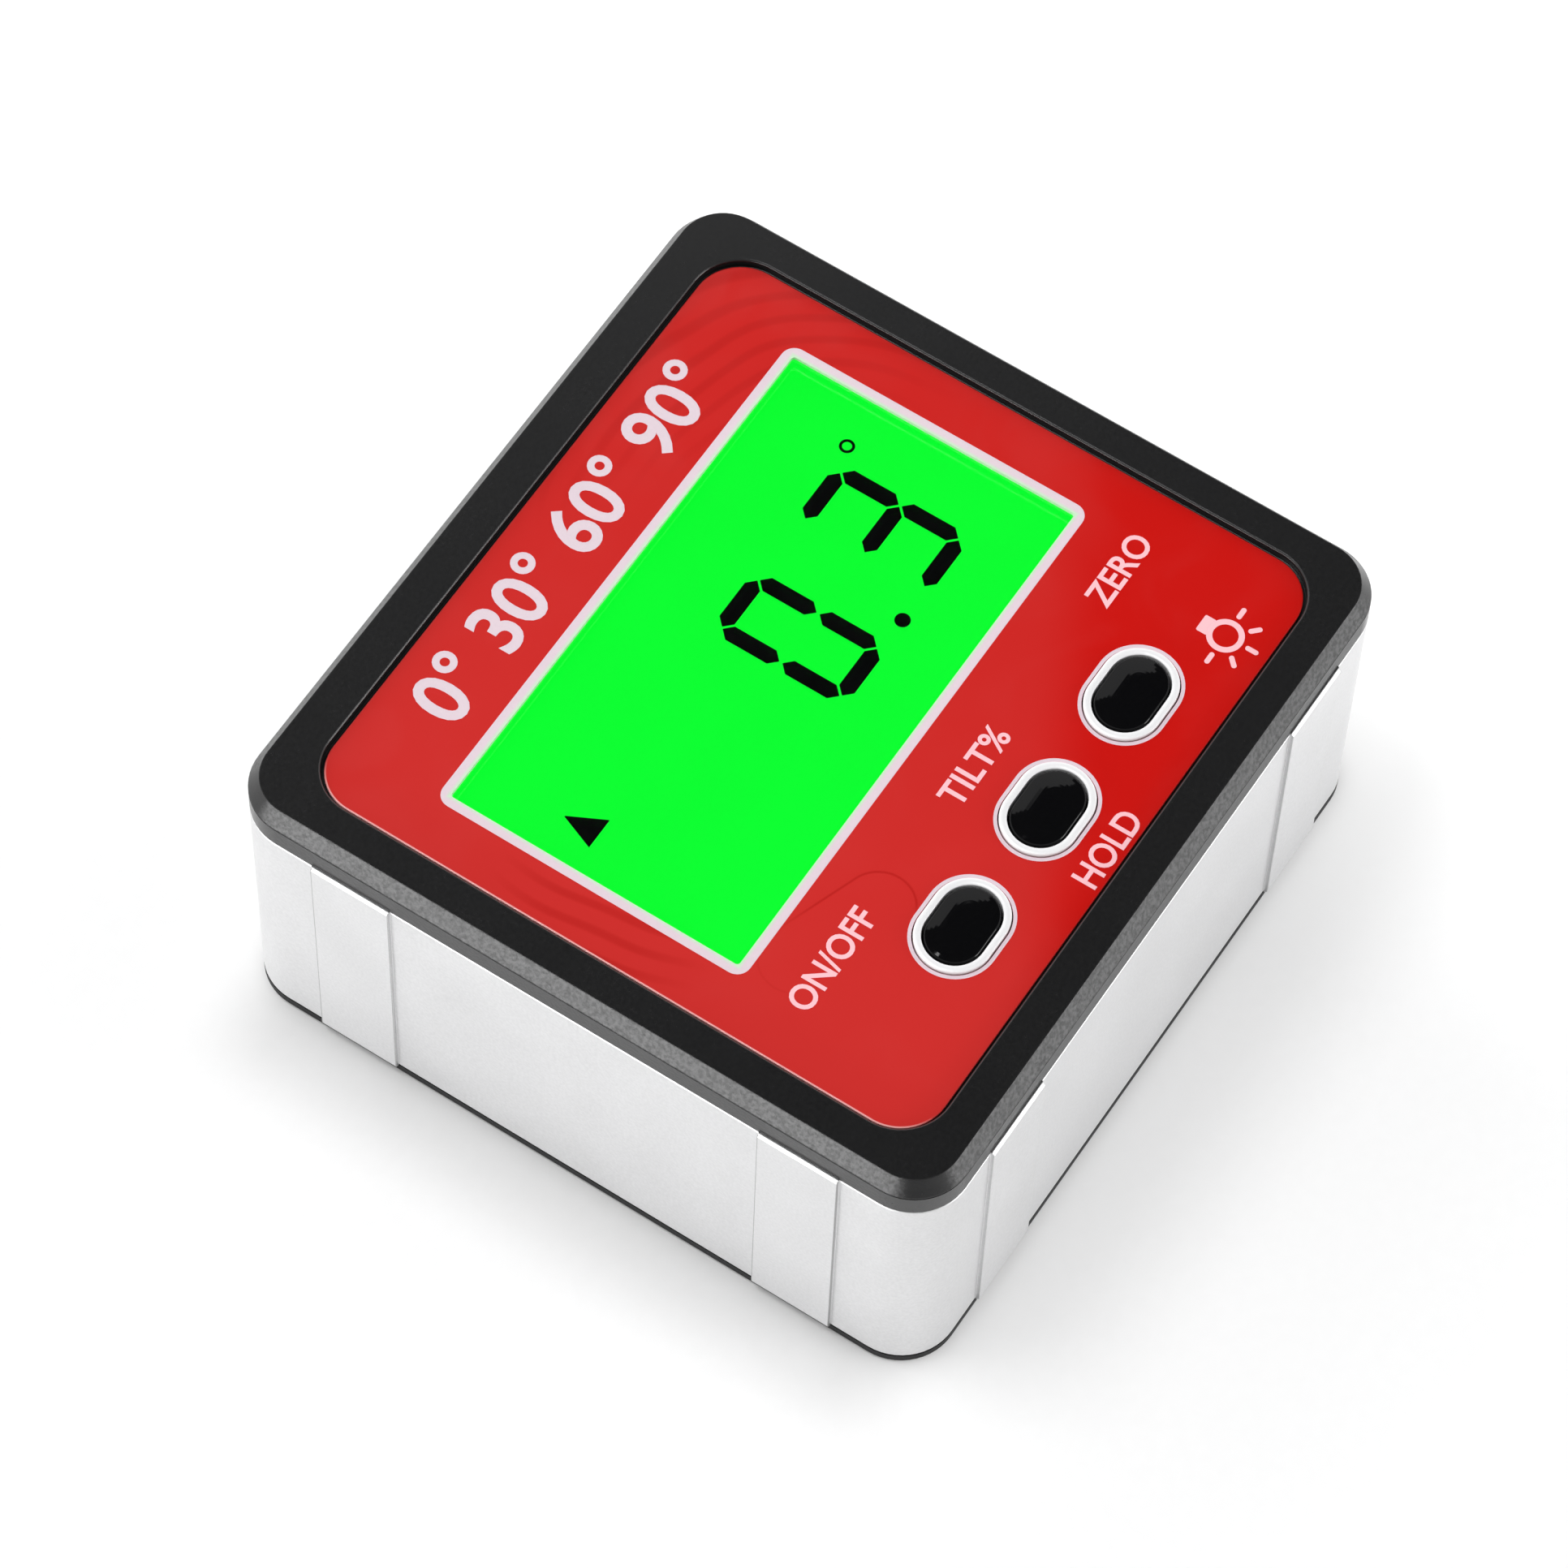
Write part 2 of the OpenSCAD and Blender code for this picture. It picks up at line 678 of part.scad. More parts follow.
// Tilt sensor below the board
module tilt_sensor() {
    color([0.2, 0.2, 0.22]) translate([sensor_x, sensor_y, z_board_lo - sensor_h / 2])
        cube([sensor_w, sensor_w, sensor_h], center = true);
}

// Clock crystal, a small can lying below the board
module crystal() {
    color([0.75, 0.75, 0.75]) translate([crystal_x, crystal_y, z_board_lo - crystal_d / 2 - touch_gap])
        rotate([90, 0, 0]) cylinder(d = crystal_d, h = crystal_l, center = true);
}

// Row of chip capacitors below the board
module capacitors() {
    color([0.7, 0.6, 0.45]) for (k = [0:capacitor_count - 1])
        translate([sensor_x + capacitor_step * (k - (capacitor_count - 1) / 2),
                   sensor_y - capacitor_step, z_board_lo - capacitor_h / 2])
            cube([capacitor_w, capacitor_l, capacitor_h], center = true);
}

// Three press switches on the board
module key_switches() {
    color([0.25, 0.25, 0.27]) at_keys() difference() {
        translate([-switch_w / 2, -switch_w / 2, z_board]) cube([switch_w, switch_w, switch_h]);
        translate([0, 0, z_switch - plunger_sink - key_travel - plunger_clear])
            cylinder(d = plunger_bore, h = switch_h);
    }
}

// Plunger of one press switch
module plunger(x) {
    color([0.1, 0.1, 0.1]) translate([x, key_y, z_switch - plunger_sink])
        cylinder(d = plunger_d, h = plunger_sink + plunger_rise);
}

module plunger_power() plunger(KEYS[0]);
module plunger_hold() plunger(KEYS[1]);
module plunger_zero() plunger(KEYS[2]);

// Oval cap with a low dome and a rounded edge, a flange that holds it under the plate, and a stem
module key_cap(x) {
    z_flange = z_plate - flange_gap;
    z_top = z_face + key_rise;
    z_edge = z_top - key_dome - cap_round;
    dome_w = key_w / 2 - cap_round;
    edge = [for (a = [0:90 / edge_steps:90]) [dome_w + cap_round * cos(a), z_edge + cap_round * sin(a)]];
    dome = [for (k = [dome_steps - 1:-1:0])
                [dome_w * k / dome_steps, z_top - key_dome * pow(k / dome_steps, 2)]];
    color([0.06, 0.06, 0.06]) translate([x, key_y, 0]) {
        oval_sweep(key_l, key_w)
            polygon([[0, z_flange - eps], [key_w / 2, z_flange - eps], each edge, each dome]);
        oval_bar(key_l + 2 * flange_lap, key_w + 2 * flange_lap, z_flange - flange_t, z_flange);
        translate([0, 0, z_switch + plunger_rise])
            cylinder(d = stem_d, h = z_flange - flange_t - z_switch - plunger_rise + eps);
    }
}

module key_power() key_cap(KEYS[0]);
module key_hold() key_cap(KEYS[1]);
module key_zero() key_cap(KEYS[2]);

// Bright rings with a rounded top, seated in the cover round the caps
module key_trims() {
    z_lo = z_seat - trim_sink;
    z_hi = z_face + trim_rise - trim_dome;
    color([0.85, 0.85, 0.87]) at_keys() oval_sweep(trim_l, trim_w) {
        translate([trim_w / 2 - trim_wall, z_lo]) square([trim_wall, z_hi - z_lo]);
        translate([trim_w / 2 - trim_wall / 2, z_hi]) scale([trim_wall / 2, trim_dome]) circle(1);
    }
}

// One cell along +X, with the end of its button at the origin
module cell() {
    shoulder = 0.6;
    rotate([0, 90, 0]) rotate_extrude()
        polygon([[0, 0], [button_d / 2, 0], [button_d / 2, -button_l],
                 [cell_d / 2 - shoulder, -button_l], [cell_d / 2, -button_l - shoulder],
                 [cell_d / 2, shoulder / 2 - cell_l], [cell_d / 2 - shoulder / 2, -cell_l],
                 [0, -cell_l]]);
}

module cell_a() {
    color([0.15, 0.4, 0.2]) translate([cell_end, cell_pitch / 2, cell_z]) cell();
}

module cell_b() {
    color([0.15, 0.4, 0.2]) translate([-cell_end, -cell_pitch / 2, cell_z]) rotate(180) cell();
}

// Flat contact at the bay's end, centred on a cell; +X points at the wall
module contact_plate(w) {
    translate([bay_l / 2 - contact_t, -w / 2, contact_lo])
        cube([contact_t, w, contact_hi - contact_lo]);
}

// Tail of a contact, up through the bay's ceiling to the board
module contact_tail() {
    translate([bay_l / 2 - contact_t, -tail_w / 2, contact_hi - eps])
        cube([contact_t, tail_w, z_board_lo - contact_hi + eps]);
}

// Bowed leaf that presses on a cell's flat end
module contact_leaf() {
    face = bay_l / 2 - contact_t;
    tip = face - spring_depth + 2 * touch_gap;
    low = contact_lo + leaf_inset;
    high = contact_hi - leaf_inset;
    rotate([90, 0, 0]) linear_extrude(contact_w, center = true)
        polygon([[face + eps, low], [tip, cell_z], [face + eps, high],
                 [face + eps, high - 2 * contact_t], [tip + contact_t, cell_z],
                 [face + eps, low + 2 * contact_t]]);
}

module contact_positive() {
    color([0.8, 0.78, 0.7]) translate([0, cell_pitch / 2, 0]) {
        contact_plate(contact_w);
        contact_tail();
    }
}

module contact_negative() {
    color([0.8, 0.78, 0.7]) translate([0, -cell_pitch / 2, 0]) {
        contact_plate(contact_w);
        contact_leaf();
        contact_tail();
    }
}

// Plate that joins the two cells at the far end, with one leaf
module contact_bridge() {
    color([0.8, 0.78, 0.7]) rotate(180) {
        contact_plate(cell_pitch + contact_w);
        translate([0, -cell_pitch / 2, 0]) contact_leaf();
    }
}

// Two bar magnets in the grooves behind the base's lands
module base_magnets() {
    color([0.6, 0.6, 0.62]) for (s = [-1, 1])
        translate([s * land_x, magnet_y + magnet_fit + magnet_t / 2, (z_frame_lo + z_frame_hi) / 2])
            cube([magnet_w, magnet_t, magnet_l], center = true);
}

// Screw with a cross recess: its head rests at the origin, the shank points up
module screw(d, l, head_d, head_h) {
    difference() {
        union() {
            translate([0, 0, -head_h]) cylinder(d = head_d, h = head_h);
            cylinder(d = d, h = l);
        }
        for (a = [0, 90])
            rotate(a) translate([0, 0, -head_h])
                cube([recess_l * head_d, recess_w * head_d, head_h], center = true);
    }
}

module cover_screws() {
    color([0.55, 0.55, 0.57]) at_posts() translate([0, 0, head_sink + head_h])
        screw(screw_d, screw_l, head_d, head_h);
}

module board_screws() {
    color([0.55, 0.55, 0.57]) at_board_bosses() translate([0, 0, z_board_lo])
        screw(board_screw_d, board_t + board_screw_grip, board_head_d, board_head_h);
}

frame();
front_cover();
rear_cover();
battery_door();
face_overlay();
display_window();
lcd_glass();
lcd_holder();
backlight_panel();
backlight_led();
zebra_strips();
main_board();
controller_chip();
tilt_sensor();
crystal();
capacitors();
key_switches();
plunger_power();
plunger_hold();
plunger_zero();
key_power();
key_hold();
key_zero();
key_trims();
cell_a();
cell_b();
contact_positive();
contact_negative();
contact_bridge();
base_magnets();
cover_screws();
board_screws();
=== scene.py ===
"""Looks of the digital angle gauge: its finishes, printed face, lit display and studio stage."""

import math

import bmesh
import bpy
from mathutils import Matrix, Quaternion, Vector


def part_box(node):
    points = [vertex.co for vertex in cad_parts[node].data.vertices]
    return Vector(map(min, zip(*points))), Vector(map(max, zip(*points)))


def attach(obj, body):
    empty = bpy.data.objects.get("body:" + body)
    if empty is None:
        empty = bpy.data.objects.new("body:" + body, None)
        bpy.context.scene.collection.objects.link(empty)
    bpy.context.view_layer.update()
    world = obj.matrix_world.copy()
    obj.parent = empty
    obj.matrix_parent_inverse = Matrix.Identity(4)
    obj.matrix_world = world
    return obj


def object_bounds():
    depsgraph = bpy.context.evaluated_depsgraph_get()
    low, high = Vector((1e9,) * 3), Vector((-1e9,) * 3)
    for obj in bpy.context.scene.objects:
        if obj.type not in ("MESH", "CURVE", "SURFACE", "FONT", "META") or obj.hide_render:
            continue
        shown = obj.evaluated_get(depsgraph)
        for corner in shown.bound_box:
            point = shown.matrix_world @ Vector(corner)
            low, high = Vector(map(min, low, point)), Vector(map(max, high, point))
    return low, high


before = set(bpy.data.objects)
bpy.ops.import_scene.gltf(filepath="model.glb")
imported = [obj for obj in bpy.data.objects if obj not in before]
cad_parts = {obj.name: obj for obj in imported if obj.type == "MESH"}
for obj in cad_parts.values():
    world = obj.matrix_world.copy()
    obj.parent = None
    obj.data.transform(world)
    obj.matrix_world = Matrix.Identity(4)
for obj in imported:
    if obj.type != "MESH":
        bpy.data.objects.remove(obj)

bl_info = {
    "name": "Digital angle gauge",
    "version": (1, 0, 0),
    "blender": (4, 5, 0),
    "location": "View3D > Sidebar > Gauge",
    "description": "Dresses the angle gauge's solids with finishes, print, a lit display and a stage",
    "category": "Object",
}

MM = 0.001
HOUSING = "housing"
CAD_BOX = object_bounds()

# Places that the solids give
FACE_LOW, FACE_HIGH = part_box("face_overlay")
FACE_CENTRE = (FACE_LOW + FACE_HIGH) / 2
FACE_HALF = (FACE_HIGH - FACE_LOW) / 2
PANE_LOW, PANE_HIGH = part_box("display_window")
GLASS_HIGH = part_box("lcd_glass")[1]
TRIM_LOW, TRIM_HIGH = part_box("key_trims")
KEY_CENTRES = [sum(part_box(key), Vector()) / 2 for key in ("key_power", "key_hold", "key_zero")]
PANE_CENTRE = (PANE_LOW + PANE_HIGH) / 2
PANE_LAP = 1.1 * MM
WINDOW_HALF = (PANE_HIGH - PANE_LOW) / 2 - Vector((PANE_LAP, PANE_LAP, 0.0))
FACE_TOP = FACE_HIGH.z
GLASS_TOP = GLASS_HIGH.z
HOUSING_HALF = (CAD_BOX[1] - CAD_BOX[0]) / 2

# Corners of the sheet and of the frame, as round as in the solids
FACE_CORNER = 3.55 * MM
HOUSING_CORNER = 4.2 * MM

# The frame's lands: how far they stand proud, half their width, where their middles lie, and the half
# width of the painted shade line along their sides
LAND_PROUD = 0.3 * MM
LAND_HALF = 3.175 * MM
LAND_PLACE = Vector((19.25 * MM, 18.1 * MM))
LINE_HALF = 0.03 * MM

# Round ends and dots keep a short straight stretch, so that no two of their points fall together
NEARLY_HALF = 0.49
NEARLY_WHOLE = 0.99


def colour(name, description, default):
    """A colour that a user may change."""
    return bpy.props.FloatVectorProperty(
        name=name, description=description, default=default, subtype="COLOR", size=3, min=0.0, max=1.0
    )


def length(name, description, default):
    """A length in metres that a user may change."""
    return bpy.props.FloatProperty(
        name=name, description=description, default=default, subtype="DISTANCE", unit="LENGTH", precision=5
    )


def place(name, description, default):
    """A place in the part's frame that a user may change."""
    return bpy.props.FloatVectorProperty(
        name=name, description=description, default=default, subtype="TRANSLATION", unit="LENGTH", size=3
    )


def angle(name, description, degrees):
    """An angle that a user may change."""
    return bpy.props.FloatProperty(
        name=name, description=description, default=math.radians(degrees), subtype="ANGLE", unit="ROTATION"
    )


def amount(name, description, default):
    """A plain number that a user may change."""
    return bpy.props.FloatProperty(name=name, description=description, default=default)


class GaugeFinish(bpy.types.PropertyGroup):
    """Colours of the gauge's finishes, and of the light and shade painted on some of them."""

    aluminium: colour("Aluminium", "Anodised frame", (0.70, 0.70, 0.705))
    # Painted highlight along the frame's cut edges
    edge_highlight: colour("Cut edge", "Bright cut edges of the frame", (0.97, 0.97, 0.97))
    # Painted shade: thin dark line along each side of a land, where its step throws shade
    land_shade_line: colour("Land line", "Thin dark line along a land's side", (0.45, 0.45, 0.45))
    bezel: colour("Bezel", "Flat top of the front cover", (0.007, 0.007, 0.0073))
    # Skirt, bevel pit and bevel peak: tones painted paler than the top where the side light falls, besides
    # the bevel's mottled texture
    bezel_skirt: colour("Bezel skirt", "Upright skirt of the front cover", (0.03, 0.03, 0.0305))
    bezel_pit: colour("Bezel pit", "Dark spots in the bevel's texture", (0.016, 0.016, 0.0162))
    bezel_peak: colour("Bezel peak", "Pale spots in the bevel's texture", (0.082, 0.082, 0.083))
    back: colour("Back", "Rims of the rear cover and the battery door", (0.008, 0.008, 0.0085))
    # Flat faces: matt, and also painted paler to stand in for light on the shaded back
    back_flat: colour("Back flat", "Matt flat faces of the back", (0.03, 0.03, 0.031))
    face: colour("Face", "Red of the printed face sheet", (0.55, 0.0075, 0.0055))
    # Painted reflection: paler, hazier red over the sheet, fading towards the right
    face_sheen: colour("Face haze", "Paler cloud in the face sheet", (0.575, 0.028, 0.025))
    # Darker streaks: painted reflection arcs, and a fine dark curved line
    face_shade: colour("Face shade", "Darker streaks in the face sheet", (0.42, 0.010, 0.008))
    # Painted highlight on the sheet's cut edge, on its left side only
    face_rim_highlight: colour("Face rim", "Pale cut edge of the face sheet", (0.92, 0.42, 0.40))
    ink: colour("Ink", "White ink of the lines and the numerals", (0.72, 0.60, 0.655))
    legend_ink: colour("Legend ink", "Rosy white ink of the legends", (0.95, 0.53, 0.57))
    ink_rim: colour("Ink rim", "Thin edge of the ink", (0.80, 0.42, 0.52))
    ink_lit: colour("Lit ink", "Ink in the display's light", (0.42, 0.9, 0.46))
    ring: colour("Ring", "Bright ring round a key", (0.82, 0.82, 0.83))
    cap: colour("Cap", "Glossy key cap", (0.003, 0.003, 0.0034))
    pane: colour("Pane", "Clear pane over the display", (0.97, 1.0, 0.98))
    unlit: colour("Unlit display", "Display under its own light", (0.002, 0.02, 0.004))
    lit: colour("Lit display", "Green of the lit display", (0.0024, 1.0, 0.030))
    segment: colour("Segment", "Dark segments of the display", (0.002, 0.001, 0.002))
    board: colour("Board", "Solder mask of the circuit board", (0.012, 0.11, 0.035))
    track: colour("Track", "Copper tracks under the solder mask", (0.03, 0.2, 0.07))
    cell: colour("Cell", "Jacket of the cells", (0.03, 0.16, 0.06))
    cell_band: colour("Cell band", "Pale band at both ends of a cell's jacket", (0.55, 0.5, 0.32))
    cell_end: colour("Cell end", "Bare metal ends of the cells", (0.75, 0.75, 0.76))


class GaugePrint(bpy.types.PropertyGroup):
    """Sizes of the print on the face and of the signs on the display."""

    ink_rise: length("Ink rise", "Height of the ink above the sheet", 0.015 * MM)
    ink_sink: length("Ink sink", "Depth of the ink in the sheet", 0.005 * MM)
    frame_line: length("Frame line", "Width of the white line round the display", 0.75 * MM)
    key_line: length("Key line", "Width of the white line round a key", 0.27 * MM)
    key_hole_gap: length("Key hole gap", "Gap between a key's ring and the sheet", 0.1 * MM)
    legend_cap: length("Legend height", "Height of the legends' capitals", 1.88 * MM)
    numeral_cap: length("Numeral height", "Height of the numerals above the display", 4.05 * MM)
    digit_width: length("Digit width", "Distance between a digit's upright segments", 4.70 * MM)
    digit_height: length("Digit height", "Distance between a digit's lowest and highest segments", 9.85 * MM)
    segment_width: length("Segment width", "Width of a segment", 1.24 * MM)
    segment_gap: length("Segment gap", "Gap between the tips of two segments", 0.26 * MM)
    segment_rise: length("Segment rise", "Thickness of a segment", 0.02 * MM)


class GaugeStage(bpy.types.PropertyGroup):
    """Camera, lamps and floor."""

    aim: place("Aim", "Point of the face that the camera looks at", (-7.928 * MM, -2.605 * MM, 26.5 * MM))
    distance: length("Distance", "Distance of the camera from its aim", 475.92 * MM)
    azimuth: angle("Azimuth", "Turn of the camera round the gauge", -59.032)
    elevation: angle("Elevation", "Height of the camera above the horizon", 60.774)
    roll: angle("Roll", "Tilt of the camera about its own axis", 2.484)
    lens: amount("Lens", "Focal length of the camera in millimetres", 161.0145)
    dome: amount("Dome", "Strength of the light from all round", 0.95)
    dome_lean: amount("Dome lean", "Share by which the dome's far right is brighter than its middle", 0.75)
    dome_patch: amount("Dome patch", "Strength of the dark patch that the face mirrors", 0.012)
    patch_inner: angle("Patch inner", "Half angle of the dark patch's even middle", 22.0)
    patch_outer: angle("Patch outer", "Half angle of the dark patch with its soft edge", 38.0)
    left: amount("Left", "Power of the lamp beside the gauge's left", 2.2)
    front: amount("Front", "Power of the lamp in front of the gauge's base", 1.5)
    far: amount("Far", "Power of the lamp that the key caps mirror", 0.8)
    behind: amount("Behind", "Power of the lamp behind the gauge that casts the soft shadow", 2.6)
    floor: colour("Floor", "Pale floor", (0.68, 0.68, 0.68))
    floor_lift: amount("Floor lift", "Light that the floor shows of its own to the camera", 0.25)
    clearing: amount("Clearing", "Light that the floor adds on its right, where the shadow is faint", 0.17)
    beneath: amount("Beneath", "Light of the floor beneath the gauge, which shows its back", 0.9)


class Wiring:
    """Adds nodes to a tree and links them, so that a material reads as a short list of steps."""

    def __init__(self, tree):
        self.nodes = tree.nodes
        self.links = tree.links

    def add(self, kind, **settings):
        node = self.nodes.new(kind)
        for key, value in settings.items():
            setattr(node, key, value)
        return node

    def feed(self, socket, value):
        """Links a socket to the input, or sets the input's own value."""
        if isinstance(value, bpy.types.NodeSocket):
            self.links.new(value, socket)
        elif socket.type == "RGBA" and len(value) == 3:
            socket.default_value = (*value, 1.0)
        else:
            socket.default_value = value

    def maths(self, operation, *values, clamp=False):
        node = self.add("ShaderNodeMath", operation=operation, use_clamp=clamp)
        for socket, value in zip(node.inputs, values):
            self.feed(socket, value)
        return node.outputs[0]

    def vector(self, operation, *values, output=0):
        node = self.add("ShaderNodeVectorMath", operation=operation)
        for socket, value in zip(node.inputs, values):
            self.feed(socket, value)
        return node.outputs[output]

    def dot(self, first, second):
        return self.vector("DOT_PRODUCT", first, second, output="Value")

    def distance(self, first, second):
        return self.vector("DISTANCE", first, second, output="Value")

    def scaled(self, tint, factor):
        """A colour or a vector times a factor."""
        return self.vector("SCALE", tint, (0, 0, 0), (0, 0, 0), factor)

    def parts(self, vector):
        """The X, Y and Z of a vector, by name."""
        node = self.add("ShaderNodeSeparateXYZ")
        self.feed(node.inputs[0], vector)
        return node.outputs

    def mix(self, factor, first, second):
        node = self.add("ShaderNodeMix", data_type="RGBA")
        self.feed(node.inputs[0], factor)
        self.feed(node.inputs[6], first)
        self.feed(node.inputs[7], second)
        return node.outputs[2]

    def spread(self, value, low, high, new_low=0.0, new_high=1.0):
        """Maps a value from one range to another, easing at both ends."""
        node = self.add("ShaderNodeMapRange", interpolation_type="SMOOTHSTEP")
        for socket, number in zip(node.inputs, (value, low, high, new_low, new_high)):
            self.feed(socket, number)
        return node.outputs[0]

    def places(self):
        """Coordinates in the part's own frame, in metres."""
        return self.add("ShaderNodeTexCoord").outputs["Object"]

    def normal(self):
        """Direction in which the surface faces."""
        return self.add("ShaderNodeNewGeometry").outputs["Normal"]

    def noise(self, where, scale, detail=2.0, distortion=0.0):
        node = self.add("ShaderNodeTexNoise")
        settings = {"Vector": where, "Scale": scale, "Detail": detail, "Distortion": distortion}
        for label, value in settings.items():
            self.feed(node.inputs[label], value)
        return node.outputs["Fac"]

    def group(self, tree, **values):
        """Places a node group and sets its inputs, named with _ for a space."""
        node = self.add("ShaderNodeGroup", node_tree=tree)
        for key, value in values.items():
            self.feed(node.inputs[key.replace("_", " ")], value)
        return node.outputs

    def bump(self, height, strength, distance, normal=None):
        node = self.add("ShaderNodeBump")
        self.feed(node.inputs["Strength"], strength)
        self.feed(node.inputs["Distance"], distance)
        self.feed(node.inputs["Height"], height)
        if normal is not None:
            self.feed(node.inputs["Normal"], normal)
        return node.outputs["Normal"]


def shader_group(name, inputs, outputs):
    """An empty shader node group with the named sockets, its wiring and its two end nodes."""
    tree = bpy.data.node_groups.new(name, "ShaderNodeTree")
    for label, kind, default in inputs:
        socket = tree.interface.new_socket(name=label, in_out="INPUT", socket_type=kind)
        socket.default_value = default
    for label, kind in outputs:
        tree.interface.new_socket(name=label, in_out="OUTPUT", socket_type=kind)
    wiring = Wiring(tree)
    return tree, wiring, wiring.add("NodeGroupInput").outputs, wiring.add("NodeGroupOutput").inputs


def once(build):
    """Builds a node group the first time it is asked for and hands out the same one after that."""
    made = {}

    def get():
        if build not in made:
            made[build] = build()
        return made[build]

    return get


@once
def fine_grain():
    """Speckle of a moulded or blasted surface: its colour, its roughness and its height."""
    tree, w, given, out = shader_group(
        "Fine grain",
        [
            ("Color", "NodeSocketColor", (0.5, 0.5, 0.5, 1.0)),
            ("Size", "NodeSocketFloat", 0.0002),
            ("Speckle", "NodeSocketFloat", 0.1),
            ("Roughness", "NodeSocketFloat", 0.5),
            ("Roughness Spread", "NodeSocketFloat", 0.1),
        ],
        [("Color", "NodeSocketColor"), ("Roughness", "NodeSocketFloat"), ("Height", "NodeSocketFloat")],
    )
    fine_share = 0.75
    broad_scale = 0.04
    where = w.places()
    scale = w.maths("DIVIDE", 1.0, given["Size"])
    fine = w.noise(where, scale, detail=3.0)
    broad = w.noise(where, w.maths("MULTIPLY", scale, broad_scale), detail=2.0)
    grain = w.maths("ADD", w.maths("MULTIPLY", fine, fine_share), w.maths("MULTIPLY", broad, 1 - fine_share))
    swing = w.maths("SUBTRACT", w.maths("MULTIPLY", grain, 2.0), 1.0)
    tint = w.maths("ADD", 1.0, w.maths("MULTIPLY", swing, given["Speckle"]))
    uneven = w.maths("MULTIPLY", swing, given["Roughness Spread"])
    w.feed(out["Color"], w.scaled(given["Color"], tint))
    w.feed(out["Roughness"], w.maths("ADD", given["Roughness"], uneven, clamp=True))
    w.feed(out["Height"], fine)
    return tree


@once
def soft_edges():
    """Edges as they leave a mould or a saw: a mask along them, and the normal that rounds them."""
    tree, w, given, out = shader_group(
        "Soft edges",
        [("Radius", "NodeSocketFloat", 0.0001), ("Gain", "NodeSocketFloat", 4.0)],
        [("Mask", "NodeSocketFloat"), ("Normal", "NodeSocketVector")],
    )
    bevel = w.add("ShaderNodeBevel", samples=6)
    w.feed(bevel.inputs["Radius"], given["Radius"])
    turn = w.dot(bevel.outputs["Normal"], w.normal())
    w.feed(out["Mask"], w.maths("MULTIPLY", w.maths("SUBTRACT", 1.0, turn), given["Gain"], clamp=True))
    w.feed(out["Normal"], bevel.outputs["Normal"])
    return tree


@once
def handling():
    """Faint smudges left by handling, as a change of roughness."""
    tree, w, given, out = shader_group(
        "Handling",
        [
            ("Roughness", "NodeSocketFloat", 0.2),
            ("Size", "NodeSocketFloat", 0.01),
            ("Strength", "NodeSocketFloat", 0.05),
        ],
        [("Roughness", "NodeSocketFloat")],
    )
    scale = w.maths("DIVIDE", 1.0, given["Size"])
    smear = w.spread(w.noise(w.places(), scale, detail=4.0, distortion=1.5), 0.42, 0.68)
    uneven = w.maths("MULTIPLY", smear, given["Strength"])
    w.feed(out["Roughness"], w.maths("ADD", given["Roughness"], uneven))
    return tree


def new_material(name):
    """A material with its shader and the wiring that feeds it."""
    material = bpy.data.materials.new(name)
    material.use_nodes = True
    return material, Wiring(material.node_tree), material.node_tree.nodes["Principled BSDF"].inputs


def grain_over(w, shader, tint, size, speckle, roughness, spread):
    """Feeds a shader with a grained colour and roughness, and hands back the grain's height."""
    grain = w.group(
        fine_grain(), Color=tint, Size=size, Speckle=speckle, Roughness=roughness, Roughness_Spread=spread
    )
    w.feed(shader["Base Color"], grain["Color"])
    w.feed(shader["Roughness"], grain["Roughness"])
    return grain["Height"]


def smudged(w, roughness, size, strength):
    """A roughness with smudges on it."""
    return w.group(handling(), Roughness=roughness, Size=size, Strength=strength)["Roughness"]


def grained(name, tint, size, speckle, roughness, spread, metal=0.0):
    """A finish with fine grain and softened edges, for moulded, blasted and plated pieces."""
    material, w, shader = new_material(name)
    height = grain_over(w, shader, tint, size, speckle, roughness, spread)
    edges = w.group(soft_edges(), Radius=0.06 * MM)
    w.feed(shader["Metallic"], metal)
    w.feed(shader["Normal"], w.bump(height, 0.15, 0.02 * MM, edges["Normal"]))
    return material


def past_core(w, where, half, corner):
    """Step from a rounded rectangle's core to a place: on the outline, as long as the corner's radius."""
    core = Vector((half.x - corner, half.y - corner, 1.0))
    return w.vector("MAXIMUM", w.vector("SUBTRACT", w.vector("ABSOLUTE", where), core), (0, 0, 0))


def past_opening(w):
    """Distance of a place beyond the edge of the display's opening, less than zero inside it."""
    from_middle = w.vector("ABSOLUTE", w.vector("SUBTRACT", w.places(), PANE_CENTRE))
    beyond = w.parts(w.vector("SUBTRACT", from_middle, WINDOW_HALF))
    return w.maths("MAXIMUM", beyond["X"], beyond["Y"])


def land_shade_line(w, along, middle, across, reach):
    """Mask of the thin painted shade lines along the edges of a side's two lands."""
    off = w.maths("ABSOLUTE", w.maths("SUBTRACT", w.maths("ABSOLUTE", along), middle))
    line = w.maths("COMPARE", off, LAND_HALF - LINE_HALF, LINE_HALF)
    proud = w.maths("COMPARE", w.maths("ABSOLUTE", across), reach, LAND_PROUD / 2)
    return w.maths("MULTIPLY", line, proud)


